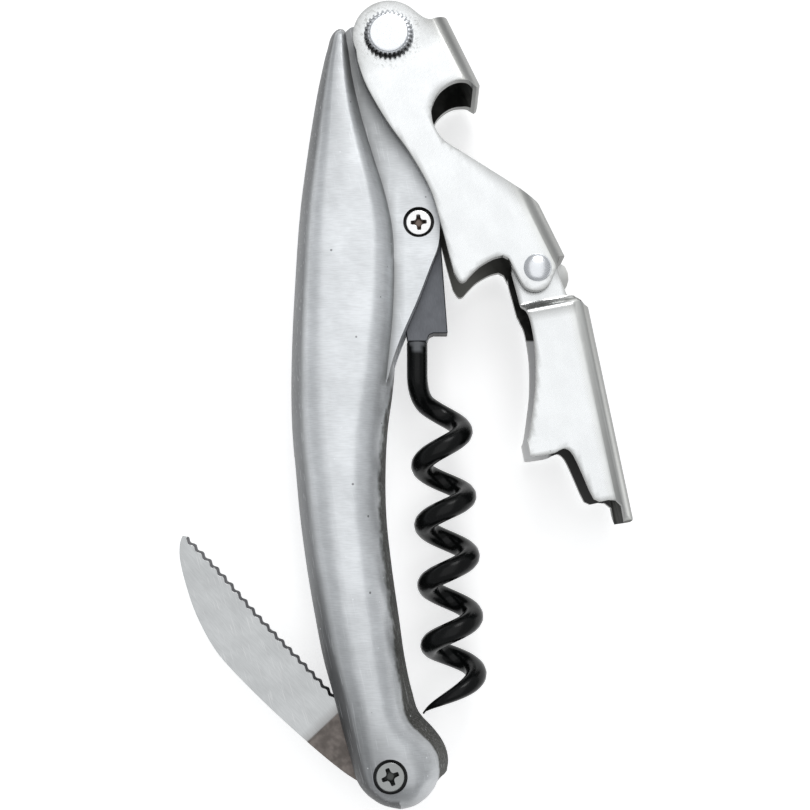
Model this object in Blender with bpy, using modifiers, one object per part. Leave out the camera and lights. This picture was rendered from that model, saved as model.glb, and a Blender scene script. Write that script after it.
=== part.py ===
"""Double-hinged corkscrew: a cast two-shell handle with a foil blade, a wire worm and two folded levers.

The tool lies on its back shell. X is across the handle, Y runs up it, Z is the axis of every pivot.
"""
import math

import bmesh
import bpy
from mathutils import Matrix, Vector

# Fits shared by all pieces
FIT_GAP = 0.00025
RUNNING_GAP = 0.00008
OVERRUN = 0.002
WELD = 0.00001
TURNED_STEPS = 32
WASHER_THICKNESS = 0.0003
SHARP_ANGLE = math.radians(35)

# Handle
HANDLE_LENGTH = 0.1134
HANDLE_DEPTH = 0.022
HANDLE_BACK = -0.016555
HANDLE_FOOT = -0.05809
BELLY_HALF = 0.0074
PARTING_GAP = 0.00025
SHELL_FLOOR = 0.001
SECTION_ARC_STEPS = 6
SECTION_FLAT_STEPS = 2
STATION_STEPS = 2
FLANGE_HEAD_RADIUS = 0.0046
# along, left edge, right edge, left round, right round, height, wall's lean, wall's top
SECTION_SHARES = (
    (0.000, 0.685, 0.775, 0.040, 0.040, 0.30, 0.000, 0.00),
    (0.004, 0.610, 0.832, 0.090, 0.080, 0.52, 0.000, 0.00),
    (0.012, 0.539, 0.894, 0.120, 0.110, 0.76, 0.000, 0.00),
    (0.024, 0.475, 0.948, 0.130, 0.140, 0.93, 0.000, 0.05),
    (0.036, 0.441, 0.984, 0.135, 0.160, 1.00, 0.005, 0.25),
    (0.042, 0.432, 1.004, 0.140, 0.170, 1.00, 0.020, 0.45),
    (0.048, 0.423, 1.030, 0.140, 0.180, 1.00, 0.044, 0.55),
    (0.062, 0.403, 1.033, 0.150, 0.200, 1.00, 0.050, 0.60),
    (0.078, 0.378, 1.005, 0.160, 0.210, 1.00, 0.062, 0.62),
    (0.095, 0.353, 0.942, 0.170, 0.190, 1.00, 0.090, 0.62),
    (0.112, 0.328, 0.858, 0.180, 0.160, 1.00, 0.078, 0.60),
    (0.140, 0.287, 0.805, 0.195, 0.160, 1.00, 0.056, 0.57),
    (0.178, 0.230, 0.760, 0.205, 0.165, 1.00, 0.044, 0.55),
    (0.229, 0.174, 0.721, 0.215, 0.175, 1.00, 0.036, 0.50),
    (0.299, 0.109, 0.669, 0.220, 0.180, 1.00, 0.032, 0.50),
    (0.356, 0.067, 0.637, 0.220, 0.185, 1.00, 0.030, 0.48),
    (0.415, 0.035, 0.630, 0.215, 0.190, 1.00, 0.026, 0.44),
    (0.473, 0.008, 0.645, 0.205, 0.200, 1.00, 0.015, 0.35),
    (0.517, 0.000, 0.675, 0.200, 0.200, 1.00, 0.004, 0.18),
    (0.557, 0.000, 0.694, 0.195, 0.195, 1.00, 0.000, 0.00),
    (0.616, 0.008, 0.720, 0.185, 0.185, 1.00, 0.000, 0.00),
    (0.676, 0.022, 0.726, 0.175, 0.175, 1.00, 0.000, 0.00),
    (0.726, 0.036, 0.713, 0.165, 0.165, 0.99, 0.000, 0.00),
    (0.765, 0.052, 0.672, 0.160, 0.155, 0.98, 0.000, 0.00),
    (0.827, 0.090, 0.572, 0.145, 0.130, 0.94, 0.000, 0.00),
    (0.872, 0.122, 0.488, 0.125, 0.110, 0.89, 0.000, 0.00),
    (0.931, 0.172, 0.394, 0.090, 0.070, 0.80, 0.000, 0.00),
    (0.975, 0.226, 0.372, 0.060, 0.050, 0.70, 0.000, 0.00),
    (0.992, 0.258, 0.364, 0.045, 0.045, 0.56, 0.000, 0.00),
    (1.000, 0.295, 0.340, 0.020, 0.020, 0.34, 0.000, 0.00),
)
# across, along: the flange's free edge from the belly up to the lever's pivot
FLANGE_EDGE_SHARES = (
    (0.655, 0.500), (0.698, 0.530), (0.784, 0.593), (0.859, 0.633), (0.945, 0.682),
    (0.984, 0.703), (0.995, 0.727), (0.985, 0.765), (0.930, 0.820), (0.880, 0.870),
    (0.863, 0.920),
)
# across, along: the flange's root, inside the belly
FLANGE_ROOT_SHARES = (
    (0.420, 0.985), (0.340, 0.975), (0.290, 0.930), (0.340, 0.850), (0.450, 0.760), (0.480, 0.650),
    (0.480, 0.500),
)
LEVER_PIVOT_SHARES = (0.6541, 0.9778)
WORM_PIVOT_SHARES = (0.8509, 0.7345)
BLADE_PIVOT_SHARES = (0.6719, 0.0460)

# First lever, a folded plate; its outline runs along, out, as shares of its length
LEVER_LENGTH = 0.0409
LEVER_ANGLE = math.radians(-64.86)
LEVER_HALF = 0.0062
PLATE = 0.0012
BEND_RADIUS = 0.0026
BEND_STEPS = 5
LEVER_SPINE_SHARE = 0.225
LEVER_HEAD_RADIUS = 0.0053
STEP_RIVET_SHARES = (0.9937, 0.1106)
NOSE_SHARES = ((0.000, 0.120), (0.003, 0.158), (0.012, 0.250))
MOUTH_SHARES = (
    (0.326, 0.250), (0.322, 0.212), (0.300, 0.202), (0.272, 0.182), (0.256, 0.145), (0.257, 0.103),
    (0.273, 0.062), (0.308, 0.024), (0.342, 0.009), (0.374, 0.003), (0.427, 0.008), (0.468, 0.029),
    (0.494, 0.046),
)
WAIST_SHARES = ((0.826, 0.250), (0.987, 0.250), (0.990, 0.192))
BOSS_SHARES = (
    (1.012, 0.180), (1.036, 0.156), (1.062, 0.125), (1.071, 0.096), (1.064, 0.066), (1.044, 0.044),
    (1.013, 0.036), (0.960, 0.034), (0.920, 0.033),
)
FIRST_STEP_SHARES = (
    (0.903, 0.020), (0.897, -0.016), (0.902, -0.071), (0.918, -0.116), (0.928, -0.140),
    (0.921, -0.156), (0.888, -0.161),
)
INNER_EDGE_SHARES = (
    (0.802, -0.146), (0.698, -0.126), (0.574, -0.108), (0.428, -0.117), (0.287, -0.141),
    (0.137, -0.152), (0.040, -0.142),
)

# Second lever, a channel with a joggled neck; shares of its length from the step rivet
STEP_LENGTH = 0.038
STEP_ANGLE = math.radians(-14.35)
NECK_GAP = 0.0003
STEP_SPINE_SHARE = 0.1656
JOGGLE_SHARES = (0.122, 0.155)
EAR_SHARES = (
    (0.126, -0.086), (0.060, -0.090), (-0.017, -0.0935), (-0.050, -0.078), (-0.067, -0.040),
    (-0.0725, 0.000), (-0.062, 0.035), (-0.035, 0.063), (0.000, 0.0745), (0.040, 0.079),
)
SHOULDER_SHARES = ((0.116, 0.092), (0.124, 0.118), (0.170, 0.149), (0.193, 0.190))
TOE_SHARES = (
    (1.000, 0.190), (1.000, 0.126), (0.935, 0.128), (0.912, 0.110), (0.905, 0.084), (0.906, 0.052),
    (0.892, 0.032),
)
LEG_SHARES = (
    (0.857, 0.022), (0.766, 0.003), (0.712, -0.012), (0.690, -0.030), (0.690, -0.052),
    (0.697, -0.080), (0.696, -0.133), (0.690, -0.163), (0.672, -0.177), (0.650, -0.176),
    (0.602, -0.150), (0.473, -0.106), (0.418, -0.091), (0.334, -0.074), (0.258, -0.066),
    (0.180, -0.066), (0.140, -0.078),
)
TONGUE_START_SHARE = 0.930
TONGUE_END_SHARE = 0.520
TONGUE_STEPS = 5
LUG_HALF_WIDTH = 0.002
LUG_SHARES = (
    (0.112, 0.070), (0.060, 0.060), (0.010, 0.078), (-0.012, 0.094), (-0.018, 0.108), (-0.006, 0.119),
    (0.020, 0.125), (0.048, 0.121), (0.070, 0.110), (0.080, 0.090),
)
WEB_SHARES = (
    (0.046, 0.0775), (0.085, 0.0855), (0.118, 0.0930), (0.150, 0.125), (0.196, 0.150), (0.196, 0.100),
    (0.150, 0.088), (0.118, 0.060), (0.046, 0.047),
)

# Worm and its hub; the hub's outline is in shares of its length from the pivot
HUB_LENGTH = 0.01712
HUB_HALF = 0.0016
HUB_HEAD_RADIUS = 0.0031
HUB_RIGHT_SHARES = (
    (0.195, -0.203), (0.246, -0.933), (0.125, -0.932), (0.088, -0.948), (0.070, -1.000),
)
HUB_LEFT_SHARES = ((-0.098, -1.000), (-0.135, -0.820), (-0.170, -0.470))
SLOT_CLEARANCE = 0.0006
WIRE_RADIUS = 0.00144
TENON_RADIUS = 0.001
TENON_LENGTH = 0.004
SHANK_OFFSET = -0.00027
SHANK_LENGTH = 0.0055
WORM_COIL_RADIUS = 0.00311
WORM_TURNS = 5.0
WORM_AXIS_OFFSET = 0.00295
WORM_AXIS_LEAN = 0.0505
WORM_START = 0.0096
WORM_TIP_SHARE = 0.1132
WORM_POINTS_PER_TURN = 20
ENTRY_TURN_SHARE = 0.16
TAPER_TURN_SHARE = 0.55
TIP_RADIUS_SHARE = 0.10
TIP_FLARE = 0.00145
TIP_DROP = 0.00085

# Blade; along, towards the spine, as shares of its length from the pivot
BLADE_LENGTH = 0.0446
BLADE_ANGLE = math.radians(132.66)
BLADE_CLOSING = math.radians(-29)
BLADE_HALF = 0.0006
GROUND_HALF = 0.00045
TANG_RADIUS = 0.0043
TOOTH_PITCH = 0.0016
TOOTH_DEPTH = 0.00042
RICASSO_SHARE = 0.243
BLADE_SPINE_SHARES = (
    (0.040, 0.104), (0.110, 0.121), (0.242, 0.138), (0.401, 0.154), (0.567, 0.164), (0.668, 0.160),
    (0.780, 0.134), (0.873, 0.099), (0.945, 0.062), (0.985, 0.028), (1.000, 0.003),
)
EDGE_SHARES = ((0.985, -0.006), (0.830, -0.006), (0.628, 0.002), (0.445, -0.004), (0.285, -0.010))
HEEL_SHARES = ((0.262, -0.018), (0.240, -0.014), (0.180, -0.022), (0.110, -0.052), (0.075, -0.070))

# Screws and barrel nuts of the worm's and the blade's pivots
BARREL_RADIUS = 0.0019
THREAD_RADIUS = 0.0011
NUT_HEAD_RADIUS = 0.0026
NUT_HEAD_HEIGHT = 0.0006
SCREW_HEAD_HEIGHT = 0.0007
SINK = 0.0001
WORM_SCREW_RADIUS = 0.00186
BLADE_SCREW_RADIUS = 0.00195
RING_GAP = 0.0004
CROSS_WIDTH = 0.0005
CROSS_SHARE = 0.68
CROSS_DEPTH = 0.0004
WORM_CROSS_ANGLE = math.radians(4)
BLADE_CROSS_ANGLE = math.radians(22)
SCREW_REACH = 0.0012
WORM_WASHER_RADIUS = 0.0028
BLADE_WASHER_RADIUS = 0.0036

# Rivets
LEVER_PIN_RADIUS = 0.002
LEVER_WASHER_RADIUS = 0.0042
RIVET_HEAD_RADIUS = 0.0034
RIVET_HEAD_HEIGHT = 0.0007
CAP_RADIUS = 0.00365
CAP_FACE_RADIUS = 0.00295
CAP_HEIGHT = 0.0011
CAP_FACE_HEIGHT = 0.0004
CAP_TEETH = 30
TOOTH_SHARE = 0.93
STEP_PIN_RADIUS = 0.0013
STEP_HEAD_RADIUS = 0.002
STEP_HEAD_HEIGHT = 0.00075
HEAD_SEAT = 0.0001

# Spring between the shells
SPRING_HALF = 0.0007
SPRING_WIDTH = 0.0016
SPRING_LOW_ANGLE = math.radians(35)
SPRING_SEAT = 0.0003
SPRING_WALL = 0.0009
SPRING_PIN_SHARE = 0.56
SPRING_PIN_RADIUS = 0.0005
SPRING_PIN_HALF = 0.004

# Sizes that follow
LEVER_INNER_HALF = LEVER_HALF - PLATE
FLANGE_HALF = LEVER_INNER_HALF - WASHER_THICKNESS - 2 * FIT_GAP
HUB_SLOT_HALF = HUB_HALF + WASHER_THICKNESS + 2 * FIT_GAP
BLADE_SLOT_HALF = BLADE_HALF + WASHER_THICKNESS + 2 * FIT_GAP
NECK_HALF = LEVER_INNER_HALF - NECK_GAP
SPRING_SLOT_HALF = SPRING_HALF + FIT_GAP
WORM_REACH = (WORM_PIVOT_SHARES[1] - WORM_TIP_SHARE) * HANDLE_LENGTH
WORM_PITCH = (WORM_REACH - HUB_LENGTH - WORM_START - TIP_DROP) / WORM_TURNS


def clear_scene():
    """Empty the scene and make one collection for the parts and one for the cutters."""
    for item in list(bpy.data.objects):
        bpy.data.objects.remove(item, do_unlink=True)
    made = []
    for name in ("corkscrew", "cutters"):
        group = bpy.data.collections.new(name)
        bpy.context.scene.collection.children.link(group)
        made.append(group)
    return made


PARTS, CUTTERS = clear_scene()


def metal(name, colour, roughness, metallic):
    """A plain metal finish."""
    made = bpy.data.materials.new(name)
    made.use_nodes = True
    shader = made.node_tree.nodes["Principled BSDF"]
    shader.inputs["Base Color"].default_value = (*colour, 1)
    shader.inputs["Roughness"].default_value = roughness
    shader.inputs["Metallic"].default_value = metallic
    return made


CAST = metal("satin_cast_metal", (0.62, 0.63, 0.65), 0.42, 1)
PLATED = metal("satin_plated_steel", (0.80, 0.80, 0.79), 0.30, 1)
STEEL = metal("plain_steel", (0.55, 0.56, 0.57), 0.35, 1)
HUB_STEEL = metal("dark_flat_steel", (0.20, 0.20, 0.22), 0.5, 1)
COATED = metal("black_coated_wire", (0.012, 0.013, 0.013), 0.25, 0)


def place(item, parent, finish, group=PARTS):
    """Link an object under its axis, with its finish."""
    group.objects.link(item)
    item.parent = parent
    if finish:
        item.data.materials.clear()
        item.data.materials.append(finish)
    return item


def axis(name, location, angle=0.0, parent=None):
    """An empty on a pivot's axis, with its X along the piece that it carries."""
    item = bpy.data.objects.new(name, None)
    item.location = location
    item.rotation_euler = (0, 0, angle)
    item.parent = parent
    PARTS.objects.link(item)
    return item


def finish_mesh(mesh):
    """Weld, turn the faces outward and smooth the round parts."""
    shape = bmesh.new()
    shape.from_mesh(mesh)
    bmesh.ops.remove_doubles(shape, verts=shape.verts, dist=WELD)
    bmesh.ops.recalc_face_normals(shape, faces=shape.faces)
    shape.to_mesh(mesh)
    shape.free()
    mesh.shade_smooth()
    mesh.set_sharp_from_angle(angle=SHARP_ANGLE)


def curve_to_mesh(name, curve):
    """The mesh of a curve, with its caps welded on."""
    guide = bpy.data.objects.new(name, curve)
    CUTTERS.objects.link(guide)
    bpy.context.view_layer.update()
    evaluated = guide.evaluated_get(bpy.context.evaluated_depsgraph_get())
    mesh = bpy.data.meshes.new_from_object(evaluated)
    mesh.name = name
    bpy.data.objects.remove(guide, do_unlink=True)
    finish_mesh(mesh)
    return mesh


def plate(name, outline, low, high, parent, finish, group=PARTS):
    """A flat outline, thick from low to high along Z."""
    curve = bpy.data.curves.new(name, "CURVE")
    curve.dimensions = "2D"
    curve.fill_mode = "BOTH"
    curve.extrude = (high - low) / 2
    spline = curve.splines.new("POLY")
    spline.points.add(len(outline) - 1)
    for point, (x, y) in zip(spline.points, outline):
        point.co = (x, y, 0, 1)
    spline.use_cyclic_u = True
    mesh = curve_to_mesh(name, curve)
    mesh.transform(Matrix.Translation((0, 0, (high + low) / 2)))
    return place(bpy.data.objects.new(name, mesh), parent, finish, group)


def turned(name, profile, parent, finish, location=(0, 0, 0), group=PARTS, closed=False):
    """A profile of radius and height, top to bottom down its outer side, turned about Z."""
    mesh = bpy.data.meshes.new(name)
    count = len(profile)
    edges = [(index, index + 1) for index in range(count - 1)]
    if closed:
        edges.append((count - 1, 0))
    mesh.from_pydata([(radius, 0, height) for radius, height in profile], edges, [])
    item = bpy.data.objects.new(name, mesh)
    item.location = location
    screw = item.modifiers.new("turn", "SCREW")
    screw.steps = screw.render_steps = TURNED_STEPS
    screw.use_merge_vertices = True
    screw.merge_threshold = WELD
    screw.use_smooth_shade = False
    return place(item, parent, finish, group)


def disc(name, radius, low, high, parent, location=(0, 0), group=CUTTERS, finish=None):
    """A plain round solid from low to high."""
    profile = ((0, high), (radius, high), (radius, low), (0, low))
    return turned(name, profile, parent, finish, (*location, 0), group)


def washer(name, inner, outer, middle, parent, location):
    """A flat ring, centred at a height."""
    low = middle - WASHER_THICKNESS / 2
    high = middle + WASHER_THICKNESS / 2
    profile = ((inner, high), (outer, high), (outer, low), (inner, low))
    return turned(name, profile, parent, STEEL, (*location, 0), PARTS, closed=True)


def combine(target, other, operation):
    """Cut, join or trim one object by another, which then only guides it."""
    change = target.modifiers.new(operation.lower(), "BOOLEAN")
    change.operation = operation
    change.object = other
    other.hide_render = True
    other.display_type = "WIRE"
    if other.name in PARTS.objects:
        PARTS.objects.unlink(other)
        CUTTERS.objects.link(other)


def smooth(points, steps=3):
    """A curve through the points, with a few steps between each two."""
    made = []
    last = len(points) - 1
    for index in range(last):
        before = points[max(index - 1, 0)]
        start, end = points[index], points[index + 1]
        after = points[min(index + 2, last)]
        for step in range(steps):
            t = step / steps
            made.append(tuple(
                0.5 * (2 * b + (c - a) * t + (2 * a - 5 * b + 4 * c - d) * t ** 2
                       + (3 * b - a - 3 * c + d) * t ** 3)
                for a, b, c, d in zip(before, start, end, after)))
    made.append(tuple(points[last]))
    return made


def scaled(points, length):
    """Shares turned into sizes."""
    return [(x * length, y * length) for x, y in points]


def arc(centre, radius, start, end, steps):
    """Points of an arc, angles in degrees."""
    angles = [math.radians(start + (end - start) * step / steps) for step in range(steps + 1)]
    return [(centre[0] + radius * math.cos(a), centre[1] + radius * math.sin(a)) for a in angles]


def on_handle(shares):
    """A place on the handle, in the handle's own frame."""
    return (shares[0] * HANDLE_DEPTH, shares[1] * HANDLE_LENGTH)


HANDLE = axis("handle_frame", (HANDLE_BACK, HANDLE_FOOT, BELLY_HALF))
LEVER_PIVOT = on_handle(LEVER_PIVOT_SHARES)
WORM_PIVOT = on_handle(WORM_PIVOT_SHARES)
BLADE_PIVOT = on_handle(BLADE_PIVOT_SHARES)
STEP_RIVET = (STEP_RIVET_SHARES[0] * LEVER_LENGTH, STEP_RIVET_SHARES[1] * LEVER_LENGTH)
LEVER_AXIS = axis("lever_axis", (*LEVER_PIVOT, 0), LEVER_ANGLE, HANDLE)
STEP_AXIS = axis("step_axis", (*STEP_RIVET, 0), STEP_ANGLE, LEVER_AXIS)
WORM_AXIS = axis("worm_axis", (*WORM_PIVOT, 0), 0, HANDLE)
BLADE_AXIS = axis("blade_axis", (*BLADE_PIVOT, 0), BLADE_ANGLE, HANDLE)


def belly_section(row):
    """One cross-section of a half belly: left foot, rounded cheek, right slope, leaning wall."""
    left, right, left_round, right_round = (share * HANDLE_DEPTH for share in row[1:5])
    height = min(row[5], 1) * BELLY_HALF
    lean = max(row[6], 0) * HANDLE_DEPTH
    wall = max(row[7], 0)
    points = [(left, -SHELL_FLOOR)]
    for step in range(SECTION_ARC_STEPS + 1):
        angle = math.pi / 2 * step / SECTION_ARC_STEPS
        points.append((left + left_round * (1 - math.cos(angle)), height * math.sin(angle)))
    start, end = left + left_round, right - lean - right_round
    for step in range(1, SECTION_FLAT_STEPS):
        points.append((start + (end - start) * step / SECTION_FLAT_STEPS, height))
    turn = math.pi / 2 * (1 - wall / 2)
    for step in range(SECTION_ARC_STEPS + 1):
        angle = turn * step / SECTION_ARC_STEPS
        drop = (1 - math.cos(angle)) / (1 - math.cos(turn))
        across = end + right_round * math.sin(angle) / math.sin(turn)
        points.append((across, height * (1 - (1 - wall) * drop)))
    points.append((right, 0))
    points.append((right + WELD, -SHELL_FLOOR))
    return points


def loft(name, rings, parent, finish, group=PARTS):
    """A closed solid through rings of points, all with the same count."""
    shape = bmesh.new()
    loops = [[shape.verts.new(point) for point in ring] for ring in rings]
    count = len(loops[0])
    for lower, upper in zip(loops, loops[1:]):
        for index in range(count):
            following = (index + 1) % count
            shape.faces.new((lower[index], lower[following], upper[following], upper[index]))
    shape.faces.new(loops[0])
    shape.faces.new(loops[-1])
    mesh = bpy.data.meshes.new(name)
    shape.to_mesh(mesh)
    shape.free()
    finish_mesh(mesh)
    return place(bpy.data.objects.new(name, mesh), parent, finish, group)


def blade_slot_outline():
    """The space that the blade sweeps, left of its closed edge and of the pivot."""
    closed = BLADE_ANGLE + BLADE_CLOSING
    along = Vector((math.cos(closed), math.sin(closed)))
    edge_side = Vector((along.y, -along.x))
    pivot = Vector(BLADE_PIVOT)
    edge = 3 * SLOT_CLEARANCE
    reach = BLADE_LENGTH + SLOT_CLEARANCE
    heel = RICASSO_SHARE * BLADE_LENGTH
    right = BLADE_PIVOT[0] + TANG_RADIUS + edge
    return [tuple(point) for point in (
        pivot + along * reach + edge_side * edge,
        pivot + along * heel + edge_side * edge,
        Vector((right, BLADE_PIVOT[1] + TANG_RADIUS / 2)),
        Vector((right, -OVERRUN)),
        Vector((-OVERRUN, -OVERRUN)),
        Vector((-OVERRUN, (pivot + along * reach).y)),
    )]


def ribbon(points, width):
    """The outline of a strip of even width along a line of points."""
    left, right = [], []
    for index, point in enumerate(points):
        before = Vector(points[max(index - 1, 0)])
        after = Vector(points[min(index + 1, len(points) - 1)])
        run = (after - before).normalized()
        side = Vector((-run.y, run.x)) * width / 2
        left.append(tuple(Vector(point) + side))
        right.append(tuple(Vector(point) - side))
    return left + right[::-1]


def spring_line():
    """The middle line of the spring, from the tang's round up along the right wall to the hub's side."""
    reach = TANG_RADIUS + SPRING_SEAT + SPRING_WIDTH / 2
    low = Vector(BLADE_PIVOT) + reach * Vector((math.cos(SPRING_LOW_ANGLE), math.sin(SPRING_LOW_ANGLE)))
    high = Vector(WORM_PIVOT) - Vector((HUB_HEAD_RADIUS + SPRING_SEAT + SPRING_WIDTH / 2, SPRING_WIDTH))
    inset = SPRING_WALL + FIT_GAP + SPRING_WIDTH / 2
    beside = [(row[2] * HANDLE_DEPTH - inset, row[0] * HANDLE_LENGTH) for row in SECTION_SHARES]
    between = [point for point in beside
               if low.y + 2 * SPRING_WIDTH < point[1] < high.y - 4 * SPRING_WIDTH]
    return smooth([tuple(low)] + between + [tuple(high)], 2)


SPRING_LINE = spring_line()
SPRING_PIN = SPRING_LINE[round(SPRING_PIN_SHARE * (len(SPRING_LINE) - 1))]


def half_shell(name, side):
    """One cast half of the handle: belly and flange, cut for blade, hub, spring and fasteners."""
    rows = smooth(SECTION_SHARES, STATION_STEPS)
    rings = [[(x, row[0] * HANDLE_LENGTH, z * side) for x, z in belly_section(row)] for row in rows]
    shell = loft(name, rings, HANDLE, CAST)

    def span(low, high):
        return (low, high) if side > 0 else (-high, -low)

    outline = smooth([on_handle(shares) for shares in FLANGE_EDGE_SHARES], 2)
    outline += arc(LEVER_PIVOT, FLANGE_HEAD_RADIUS, -5, 140, 12)
    outline += [on_handle(shares) for shares in FLANGE_ROOT_SHARES]
    flange = plate(name + "_flange", outline, *span(-SHELL_FLOOR, FLANGE_HALF), HANDLE, None, CUTTERS)
    combine(shell, flange, "UNION")

    bottom = PARTING_GAP / 2
    far = BELLY_HALF + OVERRUN
    field = [(-OVERRUN, -OVERRUN), (HANDLE_DEPTH * 2, -OVERRUN),
             (HANDLE_DEPTH * 2, HANDLE_LENGTH * 2), (-OVERRUN, HANDLE_LENGTH * 2)]
    parting = plate(name + "_parting", field, *span(-OVERRUN, bottom), HANDLE, None, CUTTERS)
    combine(shell, parting, "DIFFERENCE")
    sweep = span(-OVERRUN, BLADE_SLOT_HALF)
    slot = plate(name + "_blade_slot", blade_slot_outline(), *sweep, HANDLE, None, CUTTERS)
    combine(shell, slot, "DIFFERENCE")
    strip = ribbon(SPRING_LINE, SPRING_WIDTH + 2 * FIT_GAP)
    depth = span(-OVERRUN, SPRING_SLOT_HALF)
    pocket = plate(name + "_spring_slot", strip, *depth, HANDLE, None, CUTTERS)
    combine(shell, pocket, "DIFFERENCE")

    clear = HUB_HEAD_RADIUS + SLOT_CLEARANCE
    beyond = HANDLE_DEPTH + OVERRUN
    low_end = WORM_PIVOT[1] - HUB_LENGTH - 2 * OVERRUN
    outline = arc(WORM_PIVOT, clear, 90, 180, 6)
    outline += [(WORM_PIVOT[0] - clear, low_end), (beyond, low_end), (beyond, WORM_PIVOT[1] + clear)]
    hub_slot = plate(name + "_hub_slot", outline, *span(-OVERRUN, HUB_SLOT_HALF), HANDLE, None, CUTTERS)
    combine(shell, hub_slot, "DIFFERENCE")

    for label, radius, reach, pivot in (
            ("lever", LEVER_PIN_RADIUS, far, LEVER_PIVOT),
            ("pin", SPRING_PIN_RADIUS, SPRING_PIN_HALF + FIT_GAP, SPRING_PIN)):
        bore = disc(name + "_" + label + "_bore", radius + FIT_GAP, *span(-OVERRUN, reach), HANDLE, pivot)
        combine(shell, bore, "DIFFERENCE")
    pivots = (("worm", WORM_PIVOT, FLANGE_HALF, WORM_SCREW_RADIUS),
              ("blade", BLADE_PIVOT, BELLY_HALF, BLADE_SCREW_RADIUS))
    for label, pivot, face, head_radius in pivots:
        if side > 0:
            bore = THREAD_RADIUS + FIT_GAP
            wide = head_radius + RING_GAP
            seat = face - SINK - SCREW_HEAD_HEIGHT - FIT_GAP
        else:
            bore = BARREL_RADIUS + FIT_GAP
            wide = NUT_HEAD_RADIUS + RING_GAP
            seat = face - SINK - NUT_HEAD_HEIGHT - FIT_GAP
        profile = [(0, far), (wide, far), (wide, seat), (bore, seat), (bore, -OVERRUN), (0, -OVERRUN)]
        if side < 0:
            profile = [(radius, -height) for radius, height in reversed(profile)]
        cutter = turned(name + "_" + label + "_bore", profile, HANDLE, None, (*pivot, 0), CUTTERS)
        combine(shell, cutter, "DIFFERENCE")
    return shell


def screw(name, pivot, face, head_radius, barrel_top, cross_angle):
    """A flush cross-head screw whose thread runs into the barrel nut."""
    top = face - SINK
    under = top - SCREW_HEAD_HEIGHT
    rim = SCREW_HEAD_HEIGHT / 6
    end = barrel_top - SCREW_REACH
    profile = ((0, top), (head_radius - rim, top), (head_radius, top - rim), (head_radius, under),
               (THREAD_RADIUS, under), (THREAD_RADIUS, end), (0, end))
    item = turned(name, profile, HANDLE, STEEL, (*pivot, 0))
    arm = CROSS_SHARE * head_radius
    half = CROSS_WIDTH / 2
    outline = []
    for quarter in range(4):
        turn = Matrix.Rotation(cross_angle + quarter * math.pi / 2, 2)
        for corner in ((arm, -half), (arm, half), (half, half)):
            outline.append(tuple(turn @ Vector(corner) + Vector(pivot)))
    cross = plate(name + "_cross", outline, top - CROSS_DEPTH, top + OVERRUN, HANDLE, None, CUTTERS)
    combine(item, cross, "DIFFERENCE")
    return item


def barrel_nut(name, pivot, face, barrel_top):
    """A barrel nut, with its head sunk in the back shell."""
    low = SINK - face
    head = low + NUT_HEAD_HEIGHT
    bore = THREAD_RADIUS + FIT_GAP
    floor = barrel_top - 2 * SCREW_REACH
    profile = ((0, floor), (bore, floor), (bore, barrel_top), (BARREL_RADIUS, barrel_top),
               (BARREL_RADIUS, head), (NUT_HEAD_RADIUS, head), (NUT_HEAD_RADIUS, low), (0, low))
    return turned(name, profile, HANDLE, STEEL, (*pivot, 0))


def channel(name, stations, parent, finish, group=PARTS):
    """A folded channel of plate along X, open towards -Y: along, half width and spine at each station."""
    rings = []
    for along, half, spine in stations:
        reach = -spine
        inner = BEND_RADIUS - PLATE
        outside = arc((spine - BEND_RADIUS, half - BEND_RADIUS), BEND_RADIUS, 90, 0, BEND_STEPS)
        inside = arc((spine - BEND_RADIUS, half - BEND_RADIUS), inner, 0, 90, BEND_STEPS)
        near = [(reach, half)] + outside
        far = [(y, -z) for y, z in reversed(near)]
        near_inside = inside + [(reach, half - PLATE)]
        far_inside = [(y, -z) for y, z in reversed(near_inside)]
        rings.append([(along, y, z) for y, z in near + far + far_inside + near_inside])
    return loft(name, rings, parent, finish, group)


def first_lever():
    """The first lever: a folded plate trimmed to its side outline, with its rivets' holes."""
    spine = LEVER_SPINE_SHARE * LEVER_LENGTH
    ends = (-LEVER_HEAD_RADIUS - OVERRUN, LEVER_LENGTH + LEVER_HEAD_RADIUS)
    item = channel("first_lever", [(x, LEVER_HALF, spine) for x in ends], LEVER_AXIS, PLATED)
    outline = arc((0, 0), LEVER_HEAD_RADIUS, 270, 95, 12)
    outline += scaled(NOSE_SHARES, LEVER_LENGTH)
    outline += smooth(scaled(MOUTH_SHARES, LEVER_LENGTH), 2)
    outline += scaled(WAIST_SHARES, LEVER_LENGTH)
    outline += smooth(scaled(BOSS_SHARES, LEVER_LENGTH), 2)
    outline += smooth(scaled(FIRST_STEP_SHARES, LEVER_LENGTH), 2)
    outline += smooth(scaled(INNER_EDGE_SHARES, LEVER_LENGTH), 2)
    wide = LEVER_HALF + OVERRUN
    combine(item, plate("lever_outline", outline, -wide, wide, LEVER_AXIS, None, CUTTERS), "INTERSECT")
    for label, radius, pivot in (("lever", LEVER_PIN_RADIUS + RUNNING_GAP, (0, 0)),
                                 ("step", STEP_PIN_RADIUS + HEAD_SEAT, STEP_RIVET)):
        combine(item, disc(label + "_hole", radius, -wide, wide, LEVER_AXIS, pivot), "DIFFERENCE")
    return item


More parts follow.
